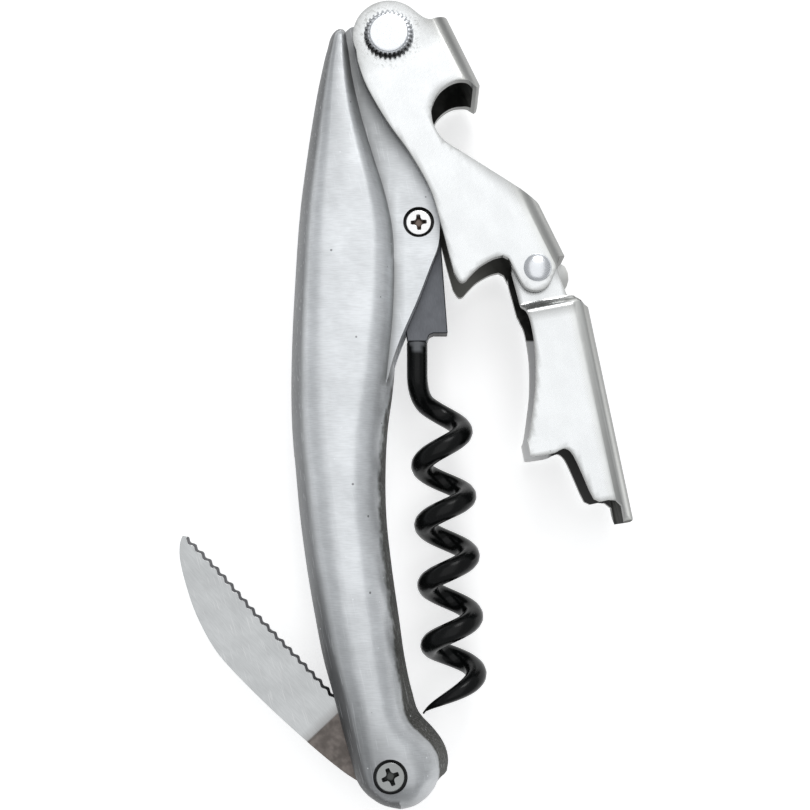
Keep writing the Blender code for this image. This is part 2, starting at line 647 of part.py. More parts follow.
def second_lever():
    """The second lever: two ears inside the first lever, a joggle out to full width, and a tongue."""
    spine = STEP_SPINE_SHARE * STEP_LENGTH
    start, end = scaled([JOGGLE_SHARES], STEP_LENGTH)[0]
    stations = ((-LEVER_HEAD_RADIUS, NECK_HALF, spine), (start, NECK_HALF, spine),
                (end, LEVER_HALF, spine), (STEP_LENGTH + OVERRUN, LEVER_HALF, spine))
    item = channel("second_lever", stations, STEP_AXIS, PLATED)
    outline = smooth(scaled(EAR_SHARES, STEP_LENGTH), 2)
    outline += scaled(SHOULDER_SHARES, STEP_LENGTH)
    outline += scaled(TOE_SHARES, STEP_LENGTH)
    outline += smooth(scaled(LEG_SHARES, STEP_LENGTH), 2)
    wide = LEVER_HALF + OVERRUN
    combine(item, plate("step_outline", outline, -wide, wide, STEP_AXIS, None, CUTTERS), "INTERSECT")

    tip = TONGUE_START_SHARE * STEP_LENGTH
    last = STEP_LENGTH
    narrow = TONGUE_END_SHARE * LEVER_HALF
    for side in (-1, 1):
        corner = []
        for step in range(TONGUE_STEPS + 1):
            angle = math.pi / 2 * step / TONGUE_STEPS
            across = narrow + (LEVER_HALF - narrow) * math.cos(angle)
            corner.append((tip + (last - tip + FIT_GAP) * math.sin(angle), side * across))
        corner += [(last + OVERRUN, side * narrow), (last + OVERRUN, side * wide), (tip, side * wide)]
        cutter = plate("tongue_corner", corner, 0, 2 * spine, STEP_AXIS, None, CUTTERS)
        cutter.rotation_euler = (math.pi / 2, 0, 0)
        cutter.location = (0, 2 * spine, 0)
        combine(item, cutter, "DIFFERENCE")

    lug = plate("stop_lug", scaled(LUG_SHARES, STEP_LENGTH), -LUG_HALF_WIDTH, LUG_HALF_WIDTH,
                STEP_AXIS, None, CUTTERS)
    combine(item, lug, "UNION")
    web_half = NECK_HALF - PLATE / 2
    web = plate("neck_web", scaled(WEB_SHARES, STEP_LENGTH), -web_half, web_half, STEP_AXIS, None, CUTTERS)
    combine(item, web, "UNION")
    for side in (-1, 1):
        low, high = sorted((side * LUG_HALF_WIDTH, side * wide))
        hole = disc("ear_hole", STEP_PIN_RADIUS + RUNNING_GAP, low, high, STEP_AXIS)
        combine(item, hole, "DIFFERENCE")
    return item


def lever_rivet():
    """The main rivet's pin with its plain head behind."""
    under = -LEVER_HALF - HEAD_SEAT
    top = LEVER_HALF + CAP_HEIGHT / 2
    head = under - RIVET_HEAD_HEIGHT
    rim = RIVET_HEAD_HEIGHT / 2
    profile = ((0, top), (LEVER_PIN_RADIUS, top), (LEVER_PIN_RADIUS, under), (RIVET_HEAD_RADIUS, under),
               (RIVET_HEAD_RADIUS, head + rim), (RIVET_HEAD_RADIUS - rim, head), (0, head))
    return turned("lever_rivet", profile, LEVER_AXIS, PLATED)


def rivet_cap():
    """The knurled cap on the rivet's near end."""
    low = LEVER_HALF + HEAD_SEAT
    high = LEVER_HALF + CAP_HEIGHT
    outline = []
    for tooth in range(2 * CAP_TEETH):
        radius = CAP_RADIUS * (1 if tooth % 2 else TOOTH_SHARE)
        angle = math.pi * tooth / CAP_TEETH
        outline.append((radius * math.cos(angle), radius * math.sin(angle)))
    item = plate("rivet_cap", outline, low, high - CAP_FACE_HEIGHT, LEVER_AXIS, PLATED)
    face = disc("cap_face", CAP_FACE_RADIUS, low + CAP_FACE_HEIGHT, high, LEVER_AXIS)
    combine(item, face, "UNION")
    top = LEVER_HALF + CAP_HEIGHT / 2 + HEAD_SEAT
    combine(item, disc("cap_bore", LEVER_PIN_RADIUS + HEAD_SEAT, 0, top, LEVER_AXIS), "DIFFERENCE")
    return item


def step_rivet():
    """The domed rivet that joins the levers."""
    under = LEVER_HALF + HEAD_SEAT
    dome = []
    for step in range(5):
        angle = math.pi / 2 * step / 4
        dome.append((STEP_HEAD_RADIUS * math.sin(angle), under + STEP_HEAD_HEIGHT * math.cos(angle)))
    half = dome + [(STEP_PIN_RADIUS, under)]
    profile = half + [(radius, -height) for radius, height in reversed(half)]
    return turned("step_rivet", profile, LEVER_AXIS, PLATED, (*STEP_RIVET, 0))


def worm_hub():
    """The flat block that turns on the worm's barrel nut and holds the wire."""
    outline = arc((0, 0), HUB_HEAD_RADIUS, 180, 0, 14)
    outline += scaled(HUB_RIGHT_SHARES, HUB_LENGTH)
    outline += scaled(HUB_LEFT_SHARES, HUB_LENGTH)
    item = plate("worm_hub", outline, -HUB_HALF, HUB_HALF, WORM_AXIS, HUB_STEEL)
    bore = disc("hub_bore", BARREL_RADIUS + RUNNING_GAP, -HUB_HALF - OVERRUN, HUB_HALF + OVERRUN, WORM_AXIS)
    combine(item, bore, "DIFFERENCE")
    socket = disc("hub_socket", TENON_RADIUS + FIT_GAP, -OVERRUN, TENON_LENGTH + FIT_GAP, WORM_AXIS)
    socket.rotation_euler = (-math.pi / 2, 0, 0)
    socket.location = (SHANK_OFFSET, -HUB_LENGTH, 0)
    combine(item, socket, "DIFFERENCE")
    return item


def worm_line():
    """Points and radii of the wire: tenon, shank, a right-handed helix and a drawn-out tip."""
    top = -HUB_LENGTH - FIT_GAP
    low = top - SHANK_LENGTH
    line = [((SHANK_OFFSET, top + TENON_LENGTH, 0), TENON_RADIUS), ((SHANK_OFFSET, top, 0), TENON_RADIUS),
            ((SHANK_OFFSET, top - WELD, 0), WIRE_RADIUS)]

    def helix(turn):
        angle = math.pi + 2 * math.pi * turn
        drawn = max(1 - (WORM_TURNS - turn) / TAPER_TURN_SHARE, 0) ** 2
        radius = WORM_COIL_RADIUS + TIP_FLARE * drawn
        fall = WORM_PITCH * turn
        middle = WORM_AXIS_OFFSET + WORM_AXIS_LEAN * fall
        y = -HUB_LENGTH - WORM_START - fall - TIP_DROP * drawn
        return Vector((middle + radius * math.cos(angle), y, radius * math.sin(angle)))

    entry = helix(ENTRY_TURN_SHARE)
    step = WORM_PITCH / WORM_POINTS_PER_TURN
    ahead = (helix(ENTRY_TURN_SHARE + 1 / WORM_POINTS_PER_TURN) - entry) / step
    start = Vector((SHANK_OFFSET, low, 0))
    span = (entry - start).length
    for index in range(8):
        t = index / 8
        point = (start * (2 * t ** 3 - 3 * t ** 2 + 1) + Vector((0, -span, 0)) * (t ** 3 - 2 * t ** 2 + t)
                 + entry * (3 * t ** 2 - 2 * t ** 3) + ahead.normalized() * span * (t ** 3 - t ** 2))
        line.append((tuple(point), WIRE_RADIUS))
    count = round((WORM_TURNS - ENTRY_TURN_SHARE) * WORM_POINTS_PER_TURN)
    for index in range(count + 1):
        turn = ENTRY_TURN_SHARE + (WORM_TURNS - ENTRY_TURN_SHARE) * index / count
        left = min((WORM_TURNS - turn) / TAPER_TURN_SHARE, 1)
        radius = WIRE_RADIUS * max(math.sin(left * math.pi / 2), TIP_RADIUS_SHARE)
        line.append((tuple(helix(turn)), radius))
    return line


def worm():
    """The wire itself."""
    line = worm_line()
    curve = bpy.data.curves.new("worm", "CURVE")
    curve.dimensions = "3D"
    curve.bevel_depth = 1
    curve.bevel_resolution = 3
    curve.use_fill_caps = True
    spline = curve.splines.new("POLY")
    spline.points.add(len(line) - 1)
    for point, (place_at, radius) in zip(spline.points, line):
        point.co = (*place_at, 1)
        point.radius = radius
    mesh = curve_to_mesh("worm", curve)
    return place(bpy.data.objects.new("worm", mesh), WORM_AXIS, COATED)


def blade():
    """The foil blade, with its fine teeth and its thinner ground part."""
    outline = arc((0, 0), TANG_RADIUS, 300, 85, 12)
    outline += smooth(scaled(BLADE_SPINE_SHARES, BLADE_LENGTH), 2)
    edge = scaled(EDGE_SHARES, BLADE_LENGTH)
    curve = smooth(edge, 8)
    run = edge[0][0] - edge[-1][0]
    teeth = round(run / TOOTH_PITCH)
    for step in range(4 * teeth + 1):
        x = edge[0][0] - run * step / (4 * teeth)
        y = next(a[1] + (b[1] - a[1]) * (a[0] - x) / (a[0] - b[0])
                 for a, b in zip(curve, curve[1:]) if b[0] - WELD <= x)
        depth = TOOTH_DEPTH * (1 - math.cos(step * math.pi / 2)) / 2
        outline.append((x, y + depth))
    outline += scaled(HEEL_SHARES, BLADE_LENGTH)
    item = plate("blade", outline, -BLADE_HALF, BLADE_HALF, BLADE_AXIS, STEEL)
    start = RICASSO_SHARE * BLADE_LENGTH
    wide = BLADE_LENGTH / 2
    ground = [(start, -wide), (BLADE_LENGTH + OVERRUN, -wide), (BLADE_LENGTH + OVERRUN, wide), (start, wide)]
    for side in (-1, 1):
        low, high = sorted((side * GROUND_HALF, side * (BLADE_HALF + OVERRUN)))
        combine(item, plate("blade_grind", ground, low, high, BLADE_AXIS, None, CUTTERS), "DIFFERENCE")
    hole = disc("blade_hole", BARREL_RADIUS + RUNNING_GAP, -OVERRUN, OVERRUN, BLADE_AXIS)
    combine(item, hole, "DIFFERENCE")
    return item


def spring():
    """The flat spring and its pin."""
    item = plate("back_spring", ribbon(SPRING_LINE, SPRING_WIDTH), -SPRING_HALF, SPRING_HALF, HANDLE, STEEL)
    hole = disc("spring_hole", SPRING_PIN_RADIUS + HEAD_SEAT, -OVERRUN, OVERRUN, HANDLE, SPRING_PIN)
    combine(item, hole, "DIFFERENCE")
    disc("spring_pin", SPRING_PIN_RADIUS, -SPRING_PIN_HALF, SPRING_PIN_HALF, HANDLE, SPRING_PIN, PARTS, STEEL)


def build():
    """All the pieces, each in its place."""
    half_shell("front_shell", 1)
    half_shell("back_shell", -1)
    for label, pivot, face, slot, head, cross in (
            ("worm", WORM_PIVOT, FLANGE_HALF, HUB_SLOT_HALF, WORM_SCREW_RADIUS, WORM_CROSS_ANGLE),
            ("blade", BLADE_PIVOT, BELLY_HALF, BLADE_SLOT_HALF, BLADE_SCREW_RADIUS, BLADE_CROSS_ANGLE)):
        barrel_top = slot - FIT_GAP
        screw(label + "_screw", pivot, face, head, barrel_top, cross)
        barrel_nut(label + "_nut", pivot, face, barrel_top)
    stacks = (("worm", BARREL_RADIUS, WORM_WASHER_RADIUS, HUB_HALF, WORM_PIVOT),
              ("blade", BARREL_RADIUS, BLADE_WASHER_RADIUS, BLADE_HALF, BLADE_PIVOT),
              ("lever", LEVER_PIN_RADIUS, LEVER_WASHER_RADIUS, FLANGE_HALF, LEVER_PIVOT))
    for label, pin, outer, half, pivot in stacks:
        middle = half + FIT_GAP + WASHER_THICKNESS / 2
        washer(label + "_washer_front", pin + FIT_GAP, outer, middle, HANDLE, pivot)
        washer(label + "_washer_back", pin + FIT_GAP, outer, -middle, HANDLE, pivot)
    first_lever()
    lever_rivet()
    rivet_cap()
    second_lever()
    step_rivet()
    worm_hub()
    worm()
    blade()
    spring()


build()
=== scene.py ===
import math
import bpy
from mathutils import Matrix, Vector, kdtree


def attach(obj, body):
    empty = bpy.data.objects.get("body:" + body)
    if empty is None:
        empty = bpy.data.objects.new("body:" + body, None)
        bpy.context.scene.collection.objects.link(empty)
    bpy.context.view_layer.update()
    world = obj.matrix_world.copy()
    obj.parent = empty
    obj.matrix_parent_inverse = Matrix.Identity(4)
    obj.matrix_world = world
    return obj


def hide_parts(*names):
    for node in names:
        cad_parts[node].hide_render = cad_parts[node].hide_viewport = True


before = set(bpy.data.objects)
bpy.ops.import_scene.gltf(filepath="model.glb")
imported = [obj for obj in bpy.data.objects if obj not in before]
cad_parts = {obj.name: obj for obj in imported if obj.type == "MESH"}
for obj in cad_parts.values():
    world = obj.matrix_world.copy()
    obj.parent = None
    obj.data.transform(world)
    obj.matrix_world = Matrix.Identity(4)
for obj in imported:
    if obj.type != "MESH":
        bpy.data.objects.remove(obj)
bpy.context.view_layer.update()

# A double-hinged corkscrew. Each piece is modelled in millimetres from its own pivot, and settle
# sets it in its place in the frame, on its body, in the stead of the solid it stands for.

scene = bpy.context.scene
MILLIMETRE = Matrix.Scale(0.001, 4)
WELD = 0.002        # points closer than this are one
THROUGH = 20        # past every face of the tool
BELOW = -5          # under the middle plane, where a half shell ends
SIDEWAYS = 9        # past the levers' cheeks

# Handle, in millimetres; sections as shares of its length and depth:
# along, left edge, right edge, left round, right round, height, wall's lean, wall's top
HANDLE_LENGTH = 113.4
HANDLE_DEPTH = 22.0
BELLY_HALF = 7.4
PARTING_HALF = 0.125
SECTION_SHARES = (
    (0.000, 0.685, 0.775, 0.040, 0.040, 0.30, 0.000, 0.00),
    (0.004, 0.610, 0.832, 0.090, 0.080, 0.52, 0.000, 0.00),
    (0.012, 0.539, 0.894, 0.120, 0.110, 0.76, 0.000, 0.00),
    (0.024, 0.475, 0.948, 0.130, 0.140, 0.93, 0.000, 0.05),
    (0.036, 0.441, 0.986, 0.135, 0.160, 1.00, 0.010, 0.30),
    (0.039, 0.436, 1.012, 0.138, 0.165, 1.00, 0.034, 0.50),
    (0.048, 0.423, 1.032, 0.140, 0.180, 1.00, 0.050, 0.58),
    (0.062, 0.403, 1.034, 0.150, 0.200, 1.00, 0.056, 0.62),
    (0.078, 0.378, 1.005, 0.160, 0.210, 1.00, 0.062, 0.62),
    (0.095, 0.353, 0.942, 0.170, 0.190, 1.00, 0.090, 0.62),
    (0.112, 0.328, 0.858, 0.180, 0.160, 1.00, 0.078, 0.60),
    (0.140, 0.287, 0.805, 0.195, 0.160, 1.00, 0.056, 0.57),
    (0.178, 0.230, 0.760, 0.205, 0.165, 1.00, 0.044, 0.55),
    (0.229, 0.174, 0.721, 0.215, 0.175, 1.00, 0.036, 0.50),
    (0.299, 0.109, 0.669, 0.220, 0.180, 1.00, 0.032, 0.50),
    (0.356, 0.067, 0.637, 0.220, 0.185, 1.00, 0.030, 0.48),
    (0.415, 0.035, 0.630, 0.215, 0.190, 1.00, 0.026, 0.44),
    (0.473, 0.008, 0.645, 0.205, 0.200, 1.00, 0.015, 0.35),
    (0.517, 0.000, 0.675, 0.200, 0.200, 1.00, 0.004, 0.18),
    (0.557, 0.000, 0.694, 0.195, 0.195, 1.00, 0.000, 0.00),
    (0.616, 0.008, 0.720, 0.185, 0.185, 1.00, 0.000, 0.00),
    (0.676, 0.022, 0.726, 0.175, 0.175, 1.00, 0.000, 0.00),
    (0.726, 0.036, 0.713, 0.165, 0.165, 0.99, 0.000, 0.00),
    (0.765, 0.052, 0.672, 0.160, 0.155, 0.98, 0.000, 0.00),
    (0.827, 0.090, 0.572, 0.145, 0.130, 0.94, 0.000, 0.00),
    (0.872, 0.122, 0.502, 0.125, 0.110, 0.89, 0.000, 0.00),
    (0.931, 0.172, 0.430, 0.095, 0.080, 0.80, 0.000, 0.00),
    (0.975, 0.222, 0.396, 0.070, 0.060, 0.70, 0.000, 0.00),
    (0.992, 0.248, 0.382, 0.055, 0.050, 0.58, 0.000, 0.00),
    (1.000, 0.278, 0.358, 0.028, 0.028, 0.36, 0.000, 0.00),
)
STATIONS = 150
ARC_STEPS = 14
FLAT_STEPS = 18
CROWN_FALL = 0.13
WALL_STEPS = 4
FLANGE_EDGE_SHARES = (
    (0.605, 0.500), (0.672, 0.530), (0.712, 0.558), (0.781, 0.595), (0.859, 0.633), (0.945, 0.682),
    (0.984, 0.703), (0.995, 0.727), (0.985, 0.765), (0.930, 0.820), (0.880, 0.870),
    (0.863, 0.920),
)
FLANGE_ROOT_SHARES = (
    (0.420, 0.985), (0.340, 0.975), (0.290, 0.930), (0.340, 0.850), (0.450, 0.760), (0.480, 0.650),
    (0.480, 0.500),
)
FLANGE_HALF = 4.2
FLANGE_HEAD_RADIUS = 4.6
SHOULDER_RADIUS = 5.2
BLADE_SLOT_HALF = 1.4
SPRING_SLOT_HALF = 0.95
HUB_SLOT_HALF = 2.4
SPRING_WIDTH = 2.1
LEVER_BORE = 2.25
PIN_BORE = 0.75
SCREW_BORE, SCREW_SEAT = 1.35, 1.05
NUT_BORE, NUT_SEAT = 2.15, 0.95
BARREL, BARREL_BORE = 1.9, 1.98
HEAD_SUNK = 0.1
RING_GAP = 0.4
WORM_SCREW = 1.86
BLADE_SCREW = 1.95
NUT_HEAD = 2.6
LEVER_PIVOT = (0.6541 * HANDLE_DEPTH, 0.9778 * HANDLE_LENGTH)
WORM_PIVOT = (0.8509 * HANDLE_DEPTH, 0.7345 * HANDLE_LENGTH)
BLADE_PIVOT = (0.6719 * HANDLE_DEPTH, 0.0460 * HANDLE_LENGTH)
BLADE_TURN = 132.66
BLADE_FOLD = -29
BLADE_LENGTH = 44.59
RICASSO = 0.243 * BLADE_LENGTH
HEEL_SLOT = 10.84

# Levers; outlines run along, out, as shares of each lever's length from its pivot
PLATE = 1.2
BEND_RADIUS = 2.6
BEND_STEPS = 12
LEVER_HALF = 6.2
NECK_HALF = 4.7
LEVER_LENGTH = 40.9
LEVER_SPINE = 0.225 * LEVER_LENGTH
LEVER_HEAD_RADIUS = 5.295
STEP_RIVET = (0.9937 * LEVER_LENGTH, 0.1106 * LEVER_LENGTH)
MOUTH_CENTRE = (0.345 * LEVER_LENGTH, 0.105 * LEVER_LENGTH)
PLATE_ENDS = (-7.3, 46.2)
RIVET_BORE, STEP_RIVET_BORE, EAR_BORE = 2.08, 1.4, 1.38
NOSE_SHARES = (
    (-0.0506, 0.1193), (-0.033, 0.127), (-0.016, 0.1357), (0.000, 0.1467), (0.0098, 0.1614),
    (0.0122, 0.181), (0.018, 0.250),
)
MOUTH_SHARES = (
    (0.280, 0.250), (0.282, 0.2255), (0.297, 0.221), (0.306, 0.212), (0.3065, 0.203), (0.293, 0.196),
    (0.272, 0.182), (0.256, 0.145), (0.257, 0.103),
    (0.273, 0.062), (0.308, 0.024), (0.342, 0.009), (0.374, 0.003), (0.427, 0.008), (0.468, 0.029),
    (0.494, 0.046),
)
WAIST_SHARES = ((0.826, 0.250), (0.987, 0.250), (0.990, 0.192))
BOSS_SHARES = (
    (1.012, 0.180), (1.036, 0.156), (1.062, 0.125), (1.071, 0.096), (1.064, 0.066), (1.044, 0.044),
    (1.013, 0.036), (0.960, 0.034), (0.920, 0.033),
)
FIRST_STEP_SHARES = (
    (0.903, 0.020), (0.897, -0.016), (0.902, -0.071), (0.918, -0.116), (0.928, -0.140),
    (0.921, -0.156), (0.888, -0.161),
)
INNER_EDGE_SHARES = (
    (0.802, -0.146), (0.698, -0.126), (0.574, -0.108), (0.428, -0.117), (0.287, -0.141),
    (0.137, -0.152), (0.040, -0.142),
)
STEP_LENGTH = 38.0
STEP_SPINE = 0.1656 * STEP_LENGTH
JOGGLE_START = 0.122 * STEP_LENGTH
JOGGLE_END = 0.155 * STEP_LENGTH
EAR_SHARES = (
    (0.126, -0.086), (0.060, -0.090), (-0.017, -0.0935), (-0.050, -0.078), (-0.067, -0.040),
    (-0.0725, 0.000), (-0.062, 0.035), (-0.035, 0.063), (0.000, 0.0745), (0.040, 0.079),
)
SHOULDER_SHARES = ((0.116, 0.092), (0.124, 0.118), (0.170, 0.149), (0.193, 0.190))
TOE_SHARES = (
    (0.984, 0.190), (0.9855, 0.165), (0.995, 0.159), (1.000, 0.149), (1.000, 0.126),
    (0.935, 0.128), (0.912, 0.110), (0.905, 0.084), (0.906, 0.052), (0.892, 0.032),
)
LEG_SHARES = (
    (0.857, 0.022), (0.766, 0.003), (0.712, -0.012), (0.690, -0.030), (0.690, -0.052),
    (0.697, -0.080), (0.696, -0.133), (0.694, -0.158), (0.685, -0.173), (0.668, -0.180),
    (0.648, -0.176), (0.632, -0.167),
    (0.602, -0.150), (0.473, -0.106), (0.418, -0.091), (0.334, -0.074), (0.258, -0.066),
    (0.180, -0.066), (0.140, -0.078),
)
LUG_SHARES = (
    (0.112, 0.070), (0.060, 0.060), (0.010, 0.078), (-0.012, 0.094), (-0.018, 0.108), (-0.006, 0.119),
    (0.020, 0.125), (0.048, 0.121), (0.070, 0.110), (0.080, 0.090),
)
WEB_SHARES = (
    (0.046, 0.0775), (0.085, 0.0855), (0.118, 0.0930), (0.150, 0.125), (0.196, 0.150), (0.196, 0.100),
    (0.150, 0.088), (0.118, 0.060), (0.046, 0.047),
)
LUG_HALF_WIDTH = 2.0
WEB_HALF = 4.1
TONGUE_TIP, TONGUE_HALF = 35.34, 3.224


def place(x, y, turn=0.0, base=Matrix.Identity(4)):
    """Where a piece's own origin lies, and how far it is turned on its carrier, in degrees."""
    return base @ Matrix.Translation((x, y, 0)) @ Matrix.Rotation(math.radians(turn), 4, "Z")


HANDLE = MILLIMETRE @ Matrix.Translation((-16.555, -58.09, BELLY_HALF))
LEVER = place(*LEVER_PIVOT, -64.86, HANDLE)
STEP = place(*STEP_RIVET, -14.35, LEVER)
WORM = place(*WORM_PIVOT, 0, HANDLE)
BLADE = place(*BLADE_PIVOT, BLADE_TURN, HANDLE)


# Drawing

def flowing(points, steps):
    """Points on a smooth curve through the given ones."""
    made = []
    last = len(points) - 1
    for index in range(last):
        around = [points[max(min(index + step, last), 0)] for step in (-1, 0, 1, 2)]
        for step in range(steps):
            t = step / steps
            made.append(tuple(
                0.5 * (2 * b + (c - a) * t + (2 * a - 5 * b + 4 * c - d) * t ** 2
                       + (3 * b - a - 3 * c + d) * t ** 3)
                for a, b, c, d in zip(*around)))
    made.append(tuple(points[last]))
    return made


def between(start, end, leave, arrive, t):
    """A place on the curve that leaves start and arrives at end at the given slopes."""
    return (start * (2 * t ** 3 - 3 * t ** 2 + 1) + leave * (t ** 3 - 2 * t ** 2 + t)
            + end * (3 * t ** 2 - 2 * t ** 3) + arrive * (t ** 3 - t ** 2))


def arc(centre, radius, start, end, steps):
    """Points of an arc, angles in degrees."""
    angles = [math.radians(start + (end - start) * step / steps) for step in range(steps + 1)]
    return [(centre[0] + radius * math.cos(a), centre[1] + radius * math.sin(a)) for a in angles]


def sized(shares, length, width=None):
    """Shares of a length made millimetres; the first of each may go by a width of its own."""
    return [(x * (width or length), y * length) for x, y in shares]


# Shaping

def select_only(piece):
    bpy.ops.object.select_all(action="DESELECT")
    piece.select_set(True)
    bpy.context.view_layer.objects.active = piece


def edit(piece, *steps):
    """Run edit mode steps on the whole piece."""
    select_only(piece)
    bpy.ops.object.mode_set(mode="EDIT")
    bpy.ops.mesh.select_mode(type="VERT")
    bpy.ops.mesh.select_all(action="SELECT")
    for step in steps:
        step()
    bpy.ops.object.mode_set(mode="OBJECT")


def pick_faces(piece, rule):
    """Go to edit mode with only those faces selected that the rule names."""
    edit(piece, lambda: bpy.ops.mesh.select_all(action="DESELECT"))
    for face in piece.data.polygons:
        face.select = rule(face)
    bpy.ops.object.mode_set(mode="EDIT")
    bpy.ops.mesh.select_mode(type="FACE")


def face_outwards():
    """Merge doubles and turn every face outwards."""
    bpy.ops.mesh.select_all(action="SELECT")
    bpy.ops.mesh.remove_doubles(threshold=WELD)
    bpy.ops.mesh.normals_make_consistent(inside=False)


def sheet_of(name, outline, height):
    """A flat face with the given outline."""
    bpy.ops.object.select_all(action="DESELECT")
    bpy.ops.mesh.primitive_circle_add(vertices=len(outline), radius=1, fill_type="NGON")
    piece = bpy.context.object
    piece.name = name
    for corner, (x, y) in zip(piece.data.vertices, outline):
        corner.co = (x, y, height)
    return piece


def slab(name, outline, low, high):
    """A flat outline drawn out from low to high."""
    piece = sheet_of(name, outline, low)
    edit(piece,
         lambda: bpy.ops.mesh.extrude_region_move(TRANSFORM_OT_translate={"value": (0, 0, high - low)}),
         face_outwards)
    return piece


def turned(name, profile, centre=(0, 0), steps=64):
    """A round piece built ring on ring, by radius and height from one end to the other."""
    start = [(profile[0][0] * x, profile[0][0] * y) for x, y in arc((0, 0), 1, 0, 360, steps)[:-1]]
    piece = sheet_of(name, start, profile[0][1])

    def build():
        for (before, low), (after, high) in zip(profile, profile[1:]):
            bpy.ops.mesh.extrude_region_move(TRANSFORM_OT_translate={"value": (0, 0, high - low)})
            share = after / before
            bpy.ops.transform.resize(value=(share, share, 1), center_override=(0, 0, high))

    edit(piece, build, face_outwards)
    piece.data.transform(Matrix.Translation((*centre, 0)))
    return piece


def combine(piece, tool, operation="DIFFERENCE"):
    """Cut a tool out of a piece, or join or trim by it."""
    select_only(piece)
    change = piece.modifiers.new("combine", "BOOLEAN")
    change.operation = operation
    change.solver = "EXACT"
    change.object = tool
    bpy.ops.object.modifier_apply(modifier=change.name)
    bpy.data.objects.remove(tool, do_unlink=True)


def bore(piece, radius, low, high, centre=(0, 0)):
    """Drill a round hole from low to high."""
    combine(piece, turned("bore", ((radius, low), (radius, high)), centre))


def rule_cheeks(piece, pitch, cheek):
    """Cut flat faces into squares, so that marks can change across them."""
    reach = [(min(spot), max(spot)) for spot in zip(*(corner.co for corner in piece.data.vertices))]
    pick_faces(piece, cheek)
    bpy.ops.mesh.hide(unselected=True)
    for (low, high), across in zip(reach, ((1, 0, 0), (0, 1, 0))):
        for count in range(1, int((high - low) / pitch) + 1):
            bpy.ops.mesh.select_all(action="SELECT")
            level = low + pitch * count
            bpy.ops.mesh.bisect(plane_co=[level * part for part in across], plane_no=across)
    bpy.ops.mesh.reveal(select=False)
    bpy.ops.object.mode_set(mode="OBJECT")


def flat_cheek(face):
    return abs(face.normal.z) > 0.999


def ease(piece, width, segments=3, angle=35, pitch=0, cheek=flat_cheek):
    """Round the sharp edges and smooth the rest; rule the cheeks first if asked."""
    edit(piece, face_outwards,
         lambda: bpy.ops.mesh.dissolve_limited(angle_limit=math.radians(0.05)))
    if width:
        bevel = piece.modifiers.new("eased edges", "BEVEL")
        bevel.width = width
        bevel.segments = segments
        bevel.limit_method = "ANGLE"
        bevel.angle_limit = math.radians(angle)
        bevel.miter_outer = "MITER_ARC"
        bpy.ops.object.modifier_apply(modifier=bevel.name)
    if pitch:
        rule_cheeks(piece, pitch, cheek)
    bpy.ops.object.shade_smooth_by_angle(angle=math.radians(angle))
    even = piece.modifiers.new("even shading", "WEIGHTED_NORMAL")
    even.keep_sharp = True
    bpy.ops.object.modifier_apply(modifier=even.name)


def settle(piece, where, body, slot, finish, *nodes):
    """Set a finished piece in its place on its body, in the stead of the solids it stands for."""
    select_only(piece)
    piece.matrix_world = where
    bpy.ops.object.transform_apply(location=True, rotation=True, scale=True)
    piece.data.materials.clear()
    piece.data.materials.append(finish)
    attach(piece, body)
    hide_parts(*nodes)


# Materials; the axes are places in the frame, in metres, where stains, wear and painted light are centred

LEVER_AXIS = (-0.0021648, 0.0527925)
STEP_AXIS = (0.0191964, 0.0179219)
STEP_PEAK = (0.0083, 0.0169)
WORM_AXIS = (0.0021648, 0.0252023)
BLADE_AXIS = (-0.0017732, -0.0528736)


